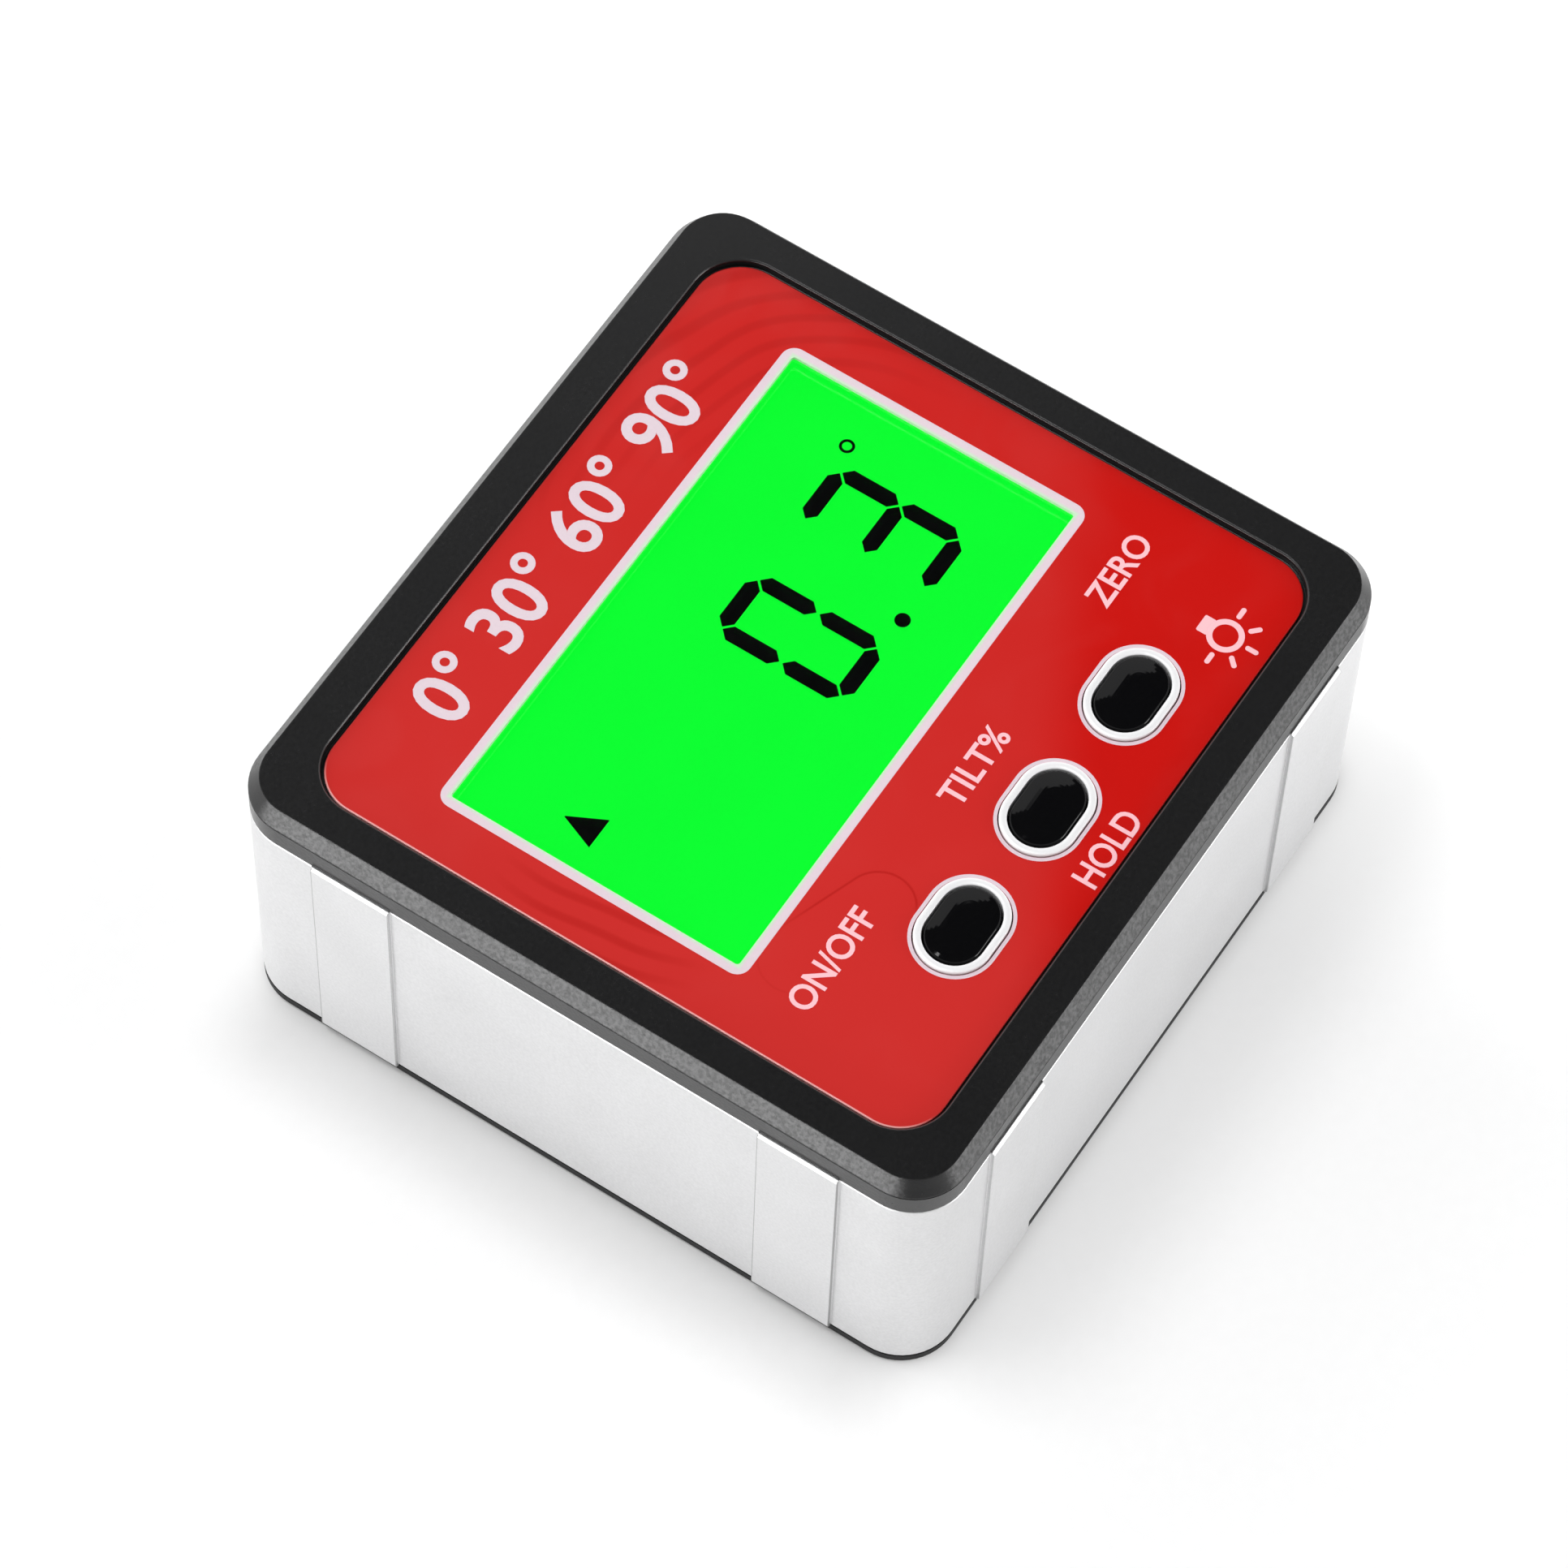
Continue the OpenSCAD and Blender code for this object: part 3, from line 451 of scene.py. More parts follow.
def aluminium_finish(finish):
    """Blasted and anodised aluminium, with a painted highlight along its cut edges and painted shade lines
    along the lands' sides.
    """
    material, w, shader = new_material("anodised_aluminium")
    faint = 0.3
    at = w.parts(w.places())
    # Painted shade lines along the lands' steps, fainter on the ends
    side_lines = land_shade_line(w, at["Y"], LAND_PLACE.y, at["X"], HOUSING_HALF.x)
    end_lines = land_shade_line(w, at["X"], LAND_PLACE.x, at["Y"], HOUSING_HALF.y)
    lines = w.maths("MAXIMUM", side_lines, w.maths("MULTIPLY", end_lines, faint))
    # Painted highlight: the edge mask lightens the cut edges towards the highlight colour
    edges = w.group(soft_edges(), Radius=0.12 * MM, Gain=5.0)
    edge_highlight_tint = w.mix(w.maths("MULTIPLY", edges["Mask"], 0.9), finish.aluminium, finish.edge_highlight)
    step_shaded = w.mix(lines, edge_highlight_tint, finish.land_shade_line)
    height = grain_over(w, shader, step_shaded, size=0.24 * MM, speckle=0.16, roughness=0.46, spread=0.12)
    w.feed(shader["Metallic"], 0.82)
    w.feed(shader["Normal"], w.bump(height, 0.25, 0.02 * MM, edges["Normal"]))
    return material


def bezel_finish(finish):
    """Black plastic: satin on top and at the corners, coarser on the bevel and the skirt, which are also
    painted paler where the side light falls; the rounded corners keep the top's dark as painted shade, and
    the opening's wall under the pane glows with painted display light.
    """
    material, w, shader = new_material("bezel_plastic")
    rim_width = 2.6 * MM
    mottle_size = 0.3 * MM
    glow_reach = 0.9 * MM
    where = w.places()
    at = w.parts(where)
    normal = w.normal()
    rise = w.parts(normal)["Z"]
    # Painted light: sloping faces near the rim are painted paler where the side light falls, besides their
    # coarser texture
    beyond_x = w.maths("GREATER_THAN", w.maths("ABSOLUTE", at["X"]), HOUSING_HALF.x - rim_width)
    beyond_y = w.maths("GREATER_THAN", w.maths("ABSOLUTE", at["Y"]), HOUSING_HALF.y - rim_width)
    outer = w.maths("MAXIMUM", beyond_x, beyond_y)
    sloping = w.spread(rise, 0.75, 0.95, 1.0, 0.0)
    # Painted shade: the rounded corners between the sides keep the dark top colour
    diagonal = w.dot(w.vector("ABSOLUTE", normal), (1.0, 1.0, 0.0))
    straight = w.spread(diagonal, 1.0, 1.16, 1.0, 0.0)
    textured_and_side_lit = w.maths("MULTIPLY", w.maths("MULTIPLY", outer, sloping), straight)
    mottle = w.spread(w.noise(where, 1 / mottle_size, detail=3.0), 0.3, 0.7)
    bevel = w.mix(mottle, finish.bezel_pit, finish.bezel_peak)
    # Skirt and bevel tones, both painted paler than the top
    edge = w.mix(w.spread(rise, 0.15, 0.35), finish.bezel_skirt, bevel)
    tint = w.mix(textured_and_side_lit, finish.bezel, edge)
    roughness = w.spread(textured_and_side_lit, 0.0, 1.0, 0.25, 0.4)
    height = grain_over(w, shader, tint, size=0.26 * MM, speckle=0.15, roughness=roughness, spread=0.07)
    edges = w.group(soft_edges(), Radius=0.1 * MM)
    strength = w.spread(textured_and_side_lit, 0.0, 1.0, 0.05, 0.6)
    w.feed(shader["Normal"], w.bump(height, strength, 0.04 * MM, edges["Normal"]))
    # Painted glow: the plastic wall under the pane shines with the display's green, standing in for its
    # spilt light
    under_pane = w.maths("LESS_THAN", at["Z"], PANE_LOW.z)
    painted_glow_wall = w.maths("MULTIPLY", w.maths("LESS_THAN", past_opening(w), glow_reach), under_pane)
    w.feed(shader["Emission Color"], w.mix(painted_glow_wall, (0.0, 0.0, 0.0), finish.lit))
    w.feed(shader["Emission Strength"], 1.0)
    return material


def back_finish(finish):
    """Black plastic of the back: matt on its flat faces, which are also painted a little paler to stand in
    for light on the shaded back, plain on its rims.
    """
    material, w, shader = new_material("back_plastic")
    # Painted light: faces that point down are painted paler than the rims, besides their matt texture
    flat = w.spread(w.parts(w.normal())["Z"], -0.95, -0.7, 1.0, 0.0)
    tint = w.mix(flat, finish.back, finish.back_flat)
    height = grain_over(w, shader, tint, size=0.2 * MM, speckle=0.25, roughness=0.52, spread=0.12)
    edges = w.group(soft_edges(), Radius=0.06 * MM)
    w.feed(shader["Specular IOR Level"], 0.2)
    w.feed(shader["Normal"], w.bump(height, 0.4, 0.02 * MM, edges["Normal"]))
    return material


def face_arcs(w, where, wander):
    """Mask of soft painted reflection arcs towards the sheet's far corner and beside the middle of its left
    edge.
    """
    middle = (10 * MM, 6 * MM, FACE_TOP)
    spacing = 1.9 * MM
    far_corner = (0.6, 0.8, 0.0)
    left_spot = (-23.5 * MM, 2 * MM, FACE_TOP)
    depth = 0.45
    outwards = w.maths("ADD", w.distance(where, middle), wander)
    rings = w.maths("SINE", w.maths("MULTIPLY", outwards, 2 * math.pi / spacing))
    corner = w.maths("MULTIPLY", w.spread(w.dot(where, far_corner), 17 * MM, 27 * MM), depth)
    beside = w.spread(w.distance(where, left_spot), 3 * MM, 9 * MM, depth, 0.0)
    return w.maths("MULTIPLY", w.spread(rings, 0.0, 1.0), w.maths("MAXIMUM", corner, beside))


def face_hook_line(w, where):
    """Mask of a fine dark curved line that hooks round one end of a key."""
    bend = (-12.2 * MM, -13 * MM, FACE_TOP)
    bend_radius = 2.55 * MM
    tail = Vector((-0.94, 0.342, 0.0))
    tail_length = 7 * MM
    upper_side = (0.342, 0.94, 0.0)
    soft_width = 0.15 * MM
    hook = w.vector("SUBTRACT", where, bend)
    along = w.maths("MINIMUM", w.maths("MAXIMUM", w.dot(hook, tail), 0.0), tail_length)
    from_tail = w.distance(hook, w.scaled(tail, along))
    off_hook_line = w.maths("ABSOLUTE", w.maths("SUBTRACT", from_tail, bend_radius))
    side = w.spread(w.dot(hook, upper_side), -2.3 * MM, -1.2 * MM)
    fade = w.maths("MULTIPLY", side, w.spread(along, 3 * MM, 6.5 * MM, 0.7, 0.2))
    return w.maths("MULTIPLY", w.spread(off_hook_line, 0.0, soft_width, 1.0, 0.0), fade)


def face_edge_highlight(w, where, across):
    """Mask of a painted highlight on the sheet's cut edge along its left side, fading round the corners."""
    inner = FACE_CORNER - 0.16 * MM
    outer = FACE_CORNER - 0.08 * MM
    past = past_core(w, w.vector("SUBTRACT", where, FACE_CENTRE), FACE_HALF, FACE_CORNER)
    off_core = w.vector("LENGTH", past, output="Value")
    sideways = w.maths("DIVIDE", w.dot(past, (1.0, 0.0, 0.0)), off_core)
    # Only the left side carries the painted highlight, where the light falls
    leftward = w.maths("MULTIPLY", w.spread(sideways, 0.2, 1.0), w.maths("LESS_THAN", across, 0.0))
    return w.maths("MULTIPLY", w.spread(off_core, inner, outer), leftward)


def face_finish(finish):
    """Glossy red sheet with a painted paler reflection, painted reflection arcs, a fine dark curved line and
    a painted highlight on its left cut edge.
    """
    material, w, shader = new_material("red_face")
    drift_scale = 60.0
    drift_reach = 5 * MM
    sheen_side = (-0.45, 0.9, 0.0)
    where = w.places()
    across = w.dot(where, (1.0, 0.0, 0.0))
    drift = w.noise(where, drift_scale, detail=1.0)
    wander = w.maths("MULTIPLY", w.maths("SUBTRACT", drift, 0.5), drift_reach)
    # Painted reflection: paler except towards the lower right, strongest on the left side
    painted_sheen = w.spread(w.maths("ADD", w.dot(where, sheen_side), wander), -20.5 * MM, -15 * MM)
    left = w.spread(across, -30 * MM, 30 * MM, 1.0, 0.45)
    sheen_tinted = w.mix(w.maths("MULTIPLY", painted_sheen, left), finish.face, finish.face_sheen)
    streaks = w.maths("MAXIMUM", face_arcs(w, where, wander), face_hook_line(w, where))
    tint = w.mix(streaks, sheen_tinted, finish.face_shade)
    edges = w.group(soft_edges(), Radius=0.16 * MM)
    w.feed(shader["Base Color"], w.mix(face_edge_highlight(w, where, across), tint, finish.face_rim_highlight))
    w.feed(shader["Roughness"], smudged(w, roughness=0.13, size=9 * MM, strength=0.06))
    w.feed(shader["Normal"], w.bump(drift, 0.05, 0.3 * MM, edges["Normal"]))
    return material


def ink_finish(name, ink, finish):
    """Screen ink, a little uneven, with the display's green light on it next to the opening."""
    material, w, shader = new_material(name)
    edges = w.group(soft_edges(), Radius=0.07 * MM, Gain=3.0)
    tint = w.mix(w.maths("MULTIPLY", edges["Mask"], 0.8), ink, finish.ink_rim)
    lit = w.spread(past_opening(w), -0.03 * MM, 0.3 * MM, 0.6, 0.0)
    lit_tint = w.mix(lit, tint, finish.ink_lit)
    height = grain_over(w, shader, lit_tint, size=0.22 * MM, speckle=0.05, roughness=0.32, spread=0.1)
    w.feed(shader["Normal"], w.bump(height, 0.08, 0.01 * MM))
    return material


def cap_finish(finish):
    """Glossy black key cap with faint smudges."""
    material, w, shader = new_material("key_black")
    grain = w.group(
        fine_grain(), Color=finish.cap, Size=0.3 * MM, Speckle=0.25, Roughness=0.05, Roughness_Spread=0.02
    )
    w.feed(shader["Base Color"], grain["Color"])
    w.feed(shader["Roughness"], smudged(w, roughness=grain["Roughness"], size=3 * MM, strength=0.03))
    w.feed(shader["Specular IOR Level"], 0.22)
    return material


def ring_finish(finish):
    """Bright plated ring, slightly satin."""
    material, w, shader = new_material("bright_ring")
    grain_over(w, shader, finish.ring, size=0.12 * MM, speckle=0.04, roughness=0.34, spread=0.08)
    w.feed(shader["Metallic"], 0.1)
    return material


def pane_finish(finish):
    """Clear pane with a trace of handling on it."""
    material, w, shader = new_material("clear_pane")
    w.feed(shader["Base Color"], finish.pane)
    w.feed(shader["Roughness"], smudged(w, roughness=0.004, size=12 * MM, strength=0.012))
    w.feed(shader["Transmission Weight"], 1.0)
    w.feed(shader["IOR"], 1.49)
    return material


def display_finish(finish):
    """Lit display: even green light with a faint cloudiness of the light panel behind it."""
    material, w, shader = new_material("lit_display")
    cloud_scale = 120.0
    cloud = w.noise(w.places(), cloud_scale, detail=1.0)
    w.feed(shader["Base Color"], finish.unlit)
    w.feed(shader["Roughness"], smudged(w, roughness=0.3, size=15 * MM, strength=0.05))
    w.feed(shader["Emission Color"], w.scaled(finish.lit, w.spread(cloud, 0.3, 0.7, 0.985, 1.0)))
    w.feed(shader["Emission Strength"], 1.06)
    w.feed(shader["Specular IOR Level"], 0.02)
    return material


def segment_finish(finish):
    """Dark liquid crystal of a segment."""
    material, w, shader = new_material("display_segment")
    grain_over(w, shader, finish.segment, size=0.2 * MM, speckle=0.2, roughness=0.6, spread=0.05)
    w.feed(shader["Specular IOR Level"], 0.02)
    return material


def board_finish(finish):
    """Green solder mask over a net of copper tracks."""
    material, w, shader = new_material("board_green")
    net = w.add("ShaderNodeTexBrick")
    w.feed(net.inputs["Vector"], w.places())
    w.feed(net.inputs["Scale"], 260.0)
    w.feed(net.inputs["Mortar Size"], 0.05)
    track = net.outputs["Fac"]
    tint = w.mix(track, finish.board, finish.track)
    grain_over(w, shader, tint, size=0.4 * MM, speckle=0.08, roughness=0.3, spread=0.08)
    w.feed(shader["Normal"], w.bump(track, 0.2, 0.03 * MM))
    return material


def cell_finish(finish):
    """Printed jacket of a cell with a pale band, and bare metal at its ends."""
    material, w, shader = new_material("cell_jacket")
    band_start = 15 * MM
    end_start = 21.6 * MM
    along = w.maths("ABSOLUTE", w.parts(w.places())["X"])
    jacket = w.mix(w.maths("GREATER_THAN", along, band_start), finish.cell, finish.cell_band)
    metal = w.maths("GREATER_THAN", along, end_start)
    tint = w.mix(metal, jacket, finish.cell_end)
    grain_over(w, shader, tint, size=0.3 * MM, speckle=0.06, roughness=0.3, spread=0.06)
    w.feed(shader["Metallic"], metal)
    return material


def dress(nodes, material):
    """Gives CAD nodes their finish."""
    for name in nodes:
        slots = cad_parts[name].data.materials
        slots.clear()
        slots.append(material)


def keep(name, mesh, material):
    """Links a finished mesh as a piece that rides on the housing."""
    mesh.materials.append(material)
    piece = bpy.data.objects.new(name, mesh)
    bpy.context.scene.collection.objects.link(piece)
    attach(piece, HOUSING)
    return piece


def mesh_from(name, solids):
    """One closed mesh from bmesh builders, each of which adds its own solid."""
    mesh = bpy.data.meshes.new(name)
    shape = bmesh.new()
    for build in solids:
        build(shape)
    bmesh.ops.recalc_face_normals(shape, faces=shape.faces)
    loose = [edge for edge in shape.edges if len(edge.link_faces) != 2]
    if loose:
        raise RuntimeError(f"{name} has {len(loose)} open edges")
    shape.to_mesh(mesh)
    shape.free()
    return mesh


def round_loop(centre, width, height, radius, steps=8):
    """Points of a rectangle with round corners, counter-clockwise."""
    points = []
    for corner in range(4):
        side_x = 1 if corner in (0, 3) else -1
        side_y = 1 if corner < 2 else -1
        x = centre[0] + side_x * (width / 2 - radius)
        y = centre[1] + side_y * (height / 2 - radius)
        for step in range(steps + 1):
            turn = math.radians(90 * (corner + step / steps))
            points.append((x + radius * math.cos(turn), y + radius * math.sin(turn)))
    return points


def round_corners(points, radius, steps=4):
    """An outline whose corners are rounded off with arcs."""
    rounded = []
    for i, point in enumerate(points):
        here = Vector(point)
        before = (Vector(points[i - 1]) - here).normalized()
        after = (Vector(points[(i + 1) % len(points)]) - here).normalized()
        half = before.angle(after) / 2
        middle = here + (before + after).normalized() * (radius / math.sin(half))
        start = here + before * (radius / math.tan(half)) - middle
        end = here + after * (radius / math.tan(half)) - middle
        for step in range(steps + 1):
            spoke = start.lerp(end, step / steps).normalized() * radius
            rounded.append(tuple(middle + spoke))
    return rounded


def plate(outline, low, high):
    """A builder of a flat plate with the given outline."""

    def build(shape):
        bottom = [shape.verts.new((x, y, low)) for x, y in outline]
        top = [shape.verts.new((x, y, high)) for x, y in outline]
        shape.faces.new(bottom[::-1])
        shape.faces.new(top)
        for i in range(len(outline)):
            j = (i + 1) % len(outline)
            shape.faces.new((bottom[i], bottom[j], top[j], top[i]))

    return build


def swept_ring(centre, width, height, radius, section, steps=8):
    """A builder of a ring round a rectangle with round corners; the section counts outwards and up."""

    def build(shape):
        loops = []
        for out, z in section:
            loop = round_loop(centre, width + 2 * out, height + 2 * out, radius + out, steps)
            loops.append([shape.verts.new((x, y, z)) for x, y in loop])
        for a, b in zip(loops, loops[1:] + loops[:1]):
            for i in range(len(a)):
                j = (i + 1) % len(a)
                shape.faces.new((a[i], a[j], b[j], b[i]))

    return build


def flat_section(inner, outer, low, high):
    """Section of a flat ring."""
    return [(inner, low), (outer, low), (outer, high), (inner, high)]


def turned(outline, degrees, centre):
    """An outline turned about its origin and moved to a centre."""
    turn = math.radians(degrees)
    across = Vector((math.cos(turn), math.sin(turn)))
    up = Vector((-across.y, across.x))
    return [tuple(Vector(centre) + across * x + up * y) for x, y in outline]


def letter_mesh(text, weight):
    """Closed mesh of a text in letters of one metre, as far below its plane as above it."""
    curve = bpy.data.curves.new("lettering", "FONT")
    curve.body = text
    curve.size = 1.0
    curve.extrude = 0.5
    curve.offset = weight
    curve.resolution_u = 5
    holder = bpy.data.objects.new("lettering", curve)
    bpy.context.scene.collection.objects.link(holder)
    evaluated = holder.evaluated_get(bpy.context.evaluated_depsgraph_get())
    mesh = bpy.data.meshes.new_from_object(evaluated)
    bpy.data.objects.remove(holder)
    shape = bmesh.new()
    shape.from_mesh(mesh)
    bmesh.ops.remove_doubles(shape, verts=shape.verts, dist=1e-5)
    bmesh.ops.recalc_face_normals(shape, faces=shape.faces)
    shape.to_mesh(mesh)
    shape.free()
    return mesh


def lettering(name, text, middle, baseline, width, cap, printing, weight):
    """Mesh of a text fitted between a baseline, a capital's height and a width, as ink on the face."""
    measure = letter_mesh("H", weight)
    cap_share = max(v.co.y for v in measure.vertices)
    bpy.data.meshes.remove(measure)
    mesh = letter_mesh(text, weight)
    mesh.name = name
    left = min(v.co.x for v in mesh.vertices)
    right = max(v.co.x for v in mesh.vertices)
    for vertex in mesh.vertices:
        vertex.co.x = middle + (vertex.co.x - (left + right) / 2) * width / (right - left)
        vertex.co.y = baseline + vertex.co.y * cap / cap_share
        vertex.co.z = FACE_TOP + (printing.ink_rise if vertex.co.z > 0 else -printing.ink_sink)
    return mesh


class GAUGE_OT_dress_frame(bpy.types.Operator):
    """Gives the extruded frame its anodised finish"""

    bl_idname = "gauge.dress_frame"
    bl_label = "Dress frame"

    def execute(self, context):
        dress(["frame"], aluminium_finish(context.scene.gauge_finish))
        return {"FINISHED"}


class GAUGE_OT_dress_covers(bpy.types.Operator):
    """Gives both moulded covers and the battery door their black plastic"""

    bl_idname = "gauge.dress_covers"
    bl_label = "Dress covers"

    def execute(self, context):
        finish = context.scene.gauge_finish
        dress(["front_cover"], bezel_finish(finish))
        dress(["rear_cover", "battery_door"], back_finish(finish))
        return {"FINISHED"}


class GAUGE_OT_print_face(bpy.types.Operator):
    """Colours the face sheet and prints its lines, legends, numerals and lamp sign"""

    bl_idname = "gauge.print_face"
    bl_label = "Print face"

    def execute(self, context):
        finish = context.scene.gauge_finish
        printing = context.scene.gauge_print
        dress(["face_overlay"], face_finish(finish))
        ink = ink_finish("white_ink", finish.ink, finish)
        legend_ink = ink_finish("legend_ink", finish.legend_ink, finish)
        low = FACE_TOP - printing.ink_sink
        high = FACE_TOP + printing.ink_rise
        self.print_lines(printing, ink, low, high)
        self.print_words(printing, ink, legend_ink)
        self.print_lamp(legend_ink, low, high)
        return {"FINISHED"}

    def print_lines(self, printing, ink, low, high):
        """White lines round the display opening and the keys."""
        width, height = 2 * WINDOW_HALF.x, 2 * WINDOW_HALF.y
        corner = 0.3 * MM
        lip = 0.02 * MM
        foot = FACE_LOW.z + lip
        section = [
            (-lip, foot), (lip, foot), (lip, low), (printing.frame_line, low),
            (printing.frame_line, high), (-lip, high),
        ]
        frame_line = swept_ring(PANE_CENTRE, width, height, corner, section)
        keep("print_display_line", mesh_from("print_display_line", [frame_line]), ink)
        trim_width = TRIM_HIGH.y - TRIM_LOW.y
        trim_length = 2 * (TRIM_HIGH.x - KEY_CENTRES[2].x)
        gap = printing.key_hole_gap
        ring = flat_section(gap, gap + printing.key_line, low, high)
        rings = [swept_ring(c, trim_length, trim_width, trim_width / 2, ring, steps=16) for c in KEY_CENTRES]
        keep("print_key_lines", mesh_from("print_key_lines", rings), ink)

    def print_words(self, printing, ink, legend_ink):
        """Legends of the keys, and the row of numerals above the display."""
        upper_row = -13.5 * MM
        lower_row = -24.45 * MM
        top_row = 18.5 * MM
        legend_weight = 0.017
        numeral_weight = 0.02
        legends = [
            ("print_on_off", "ON/OFF", -17.4 * MM, upper_row, 8.7 * MM),
            ("print_tilt", "TILT%", 0.46 * MM, upper_row, 6.75 * MM),
            ("print_zero", "ZERO", 19.15 * MM, upper_row, 6.3 * MM),
            ("print_hold", "HOLD", 0.06 * MM, lower_row, 6.4 * MM),
        ]
        for name, text, middle, baseline, width in legends:
            mesh = lettering(
                name, text, middle, baseline, width, printing.legend_cap, printing, legend_weight
            )
            keep(name, mesh, legend_ink)
        numerals = lettering(
            "print_numerals", "0° 30° 60° 90°", middle=-0.1 * MM, baseline=top_row, width=33.3 * MM,
            cap=printing.numeral_cap, printing=printing, weight=numeral_weight,
        )
        keep("print_numerals", numerals, ink)

    def print_lamp(self, ink, low, high):
        """Sign of a lamp with five rays, for the display's light."""
        centre = Vector((18.75 * MM, -21.46 * MM))
        bulb_inner = 0.91 * MM
        bulb_outer = 1.34 * MM
        ray_width = 0.38 * MM
        ray_start = 1.62 * MM
        ray_end = 2.63 * MM
        socket_width = 1.4 * MM
        socket_top = 2.0 * MM
        socket_foot = 1.12 * MM
        socket_corner = 0.12 * MM
        socket_drop = 0.002 * MM
        bulb = swept_ring(
            centre, 2 * bulb_inner, 2 * bulb_inner, bulb_inner,
            flat_section(0.0, bulb_outer - bulb_inner, low, high), steps=10,
        )
        socket_middle = centre + Vector((0.0, (socket_top + socket_foot) / 2))
        socket = round_loop(socket_middle, socket_width, socket_top - socket_foot, socket_corner, steps=4)
        solids = [bulb, plate(socket, low, high - socket_drop)]
        ray_middle = ((ray_start + ray_end) / 2, 0.0)
        ray = round_loop(ray_middle, ray_end - ray_start, ray_width, NEARLY_HALF * ray_width, steps=6)
        for degrees in (180, 225, 270, 315, 360):
            solids.append(plate(turned(ray, degrees, centre), low, high))
        keep("print_lamp", mesh_from("print_lamp", solids), ink)


class GAUGE_OT_light_display(bpy.types.Operator):
    """Makes the pane clear and the display glow, and sets its segments"""

    bl_idname = "gauge.light_display"
    bl_label = "Light display"

    # Segments of a seven-segment digit: place across and up in half steps, and turn
    SEGMENTS = {
        "top": (0, 1.0, 0), "middle": (0, 0.0, 0), "bottom": (0, -1.0, 0),
        "upper_left": (-1, 0.5, 90), "upper_right": (1, 0.5, 90),
        "lower_left": (-1, -0.5, 90), "lower_right": (1, -0.5, 90),
    }
    LIT = {
        "0": ("top", "bottom", "upper_left", "upper_right", "lower_left", "lower_right"),
        "3": ("top", "middle", "bottom", "upper_right", "lower_right"),
    }

    def execute(self, context):
        finish = context.scene.gauge_finish
        printing = context.scene.gauge_print
        dress(["display_window"], pane_finish(finish))
        dress(["lcd_glass"], display_finish(finish))
        dark = segment_finish(finish)
        low = GLASS_TOP - printing.ink_sink
        high = GLASS_TOP + printing.segment_rise
        digit_row = 3.23 * MM
        for name, digit, x in (("segments_units", "0", 3.02 * MM), ("segments_tenths", "3", 13.53 * MM)):
            solids = self.digit(printing, digit, Vector((x, digit_row)), low, high)
            keep(name, mesh_from(name, solids), dark)
        self.signs(dark, low, high)
        return {"FINISHED"}

    def digit(self, printing, digit, centre, low, high):
        """Builders of the segments that a digit lights."""
        half = printing.segment_width / 2
        tip_radius = 0.05 * MM
        solids = []
        for name in self.LIT[digit]:
            across, up, degrees = self.SEGMENTS[name]
            pitch = printing.digit_height / 2 if degrees else printing.digit_width
            reach = (pitch - printing.segment_gap) / 2
            bar = [
                (-reach, 0.0), (half - reach, -half), (reach - half, -half),
                (reach, 0.0), (reach - half, half), (half - reach, half),
            ]
            middle = centre + Vector((across * printing.digit_width / 2, up * printing.digit_height / 2))
            solids.append(plate(turned(round_corners(bar, tip_radius), degrees, middle), low, high))
        return solids

    def signs(self, dark, low, high):
        """Decimal point, degree sign and the arrow that points up."""
        point_place = (8.17 * MM, -1.91 * MM)
        point_radius = 0.57 * MM
        degree_place = (17.9 * MM, 8.95 * MM)
        degree_inner = 0.36 * MM
        degree_line = 0.21 * MM
        arrow_tip = Vector((-17.62 * MM, 8.88 * MM))
        arrow_left = Vector((-1.08 * MM, -2.78 * MM))
        arrow_right = Vector((1.45 * MM, -2.78 * MM))
        arrow_round = 0.04 * MM
        point = round_loop(point_place, 2 * point_radius, 2 * point_radius, NEARLY_WHOLE * point_radius)
        degree = swept_ring(
            degree_place, 2 * degree_inner, 2 * degree_inner, degree_inner,
            flat_section(0.0, degree_line, low, high),
        )
        corners = [tuple(arrow_tip), tuple(arrow_tip + arrow_left), tuple(arrow_tip + arrow_right)]
        arrow = plate(round_corners(corners, arrow_round), low, high)
        keep("segment_point", mesh_from("segment_point", [plate(point, low, high)]), dark)
        keep("segment_degree", mesh_from("segment_degree", [degree]), dark)
        keep("segment_arrow", mesh_from("segment_arrow", [arrow]), dark)


class GAUGE_OT_dress_keys(bpy.types.Operator):
    """Gives the key caps their gloss and their rings a bright finish"""

    bl_idname = "gauge.dress_keys"
    bl_label = "Dress keys"

    def execute(self, context):
        finish = context.scene.gauge_finish
        dress(["key_power", "key_hold", "key_zero"], cap_finish(finish))
        dress(["key_trims"], ring_finish(finish))
        return {"FINISHED"}


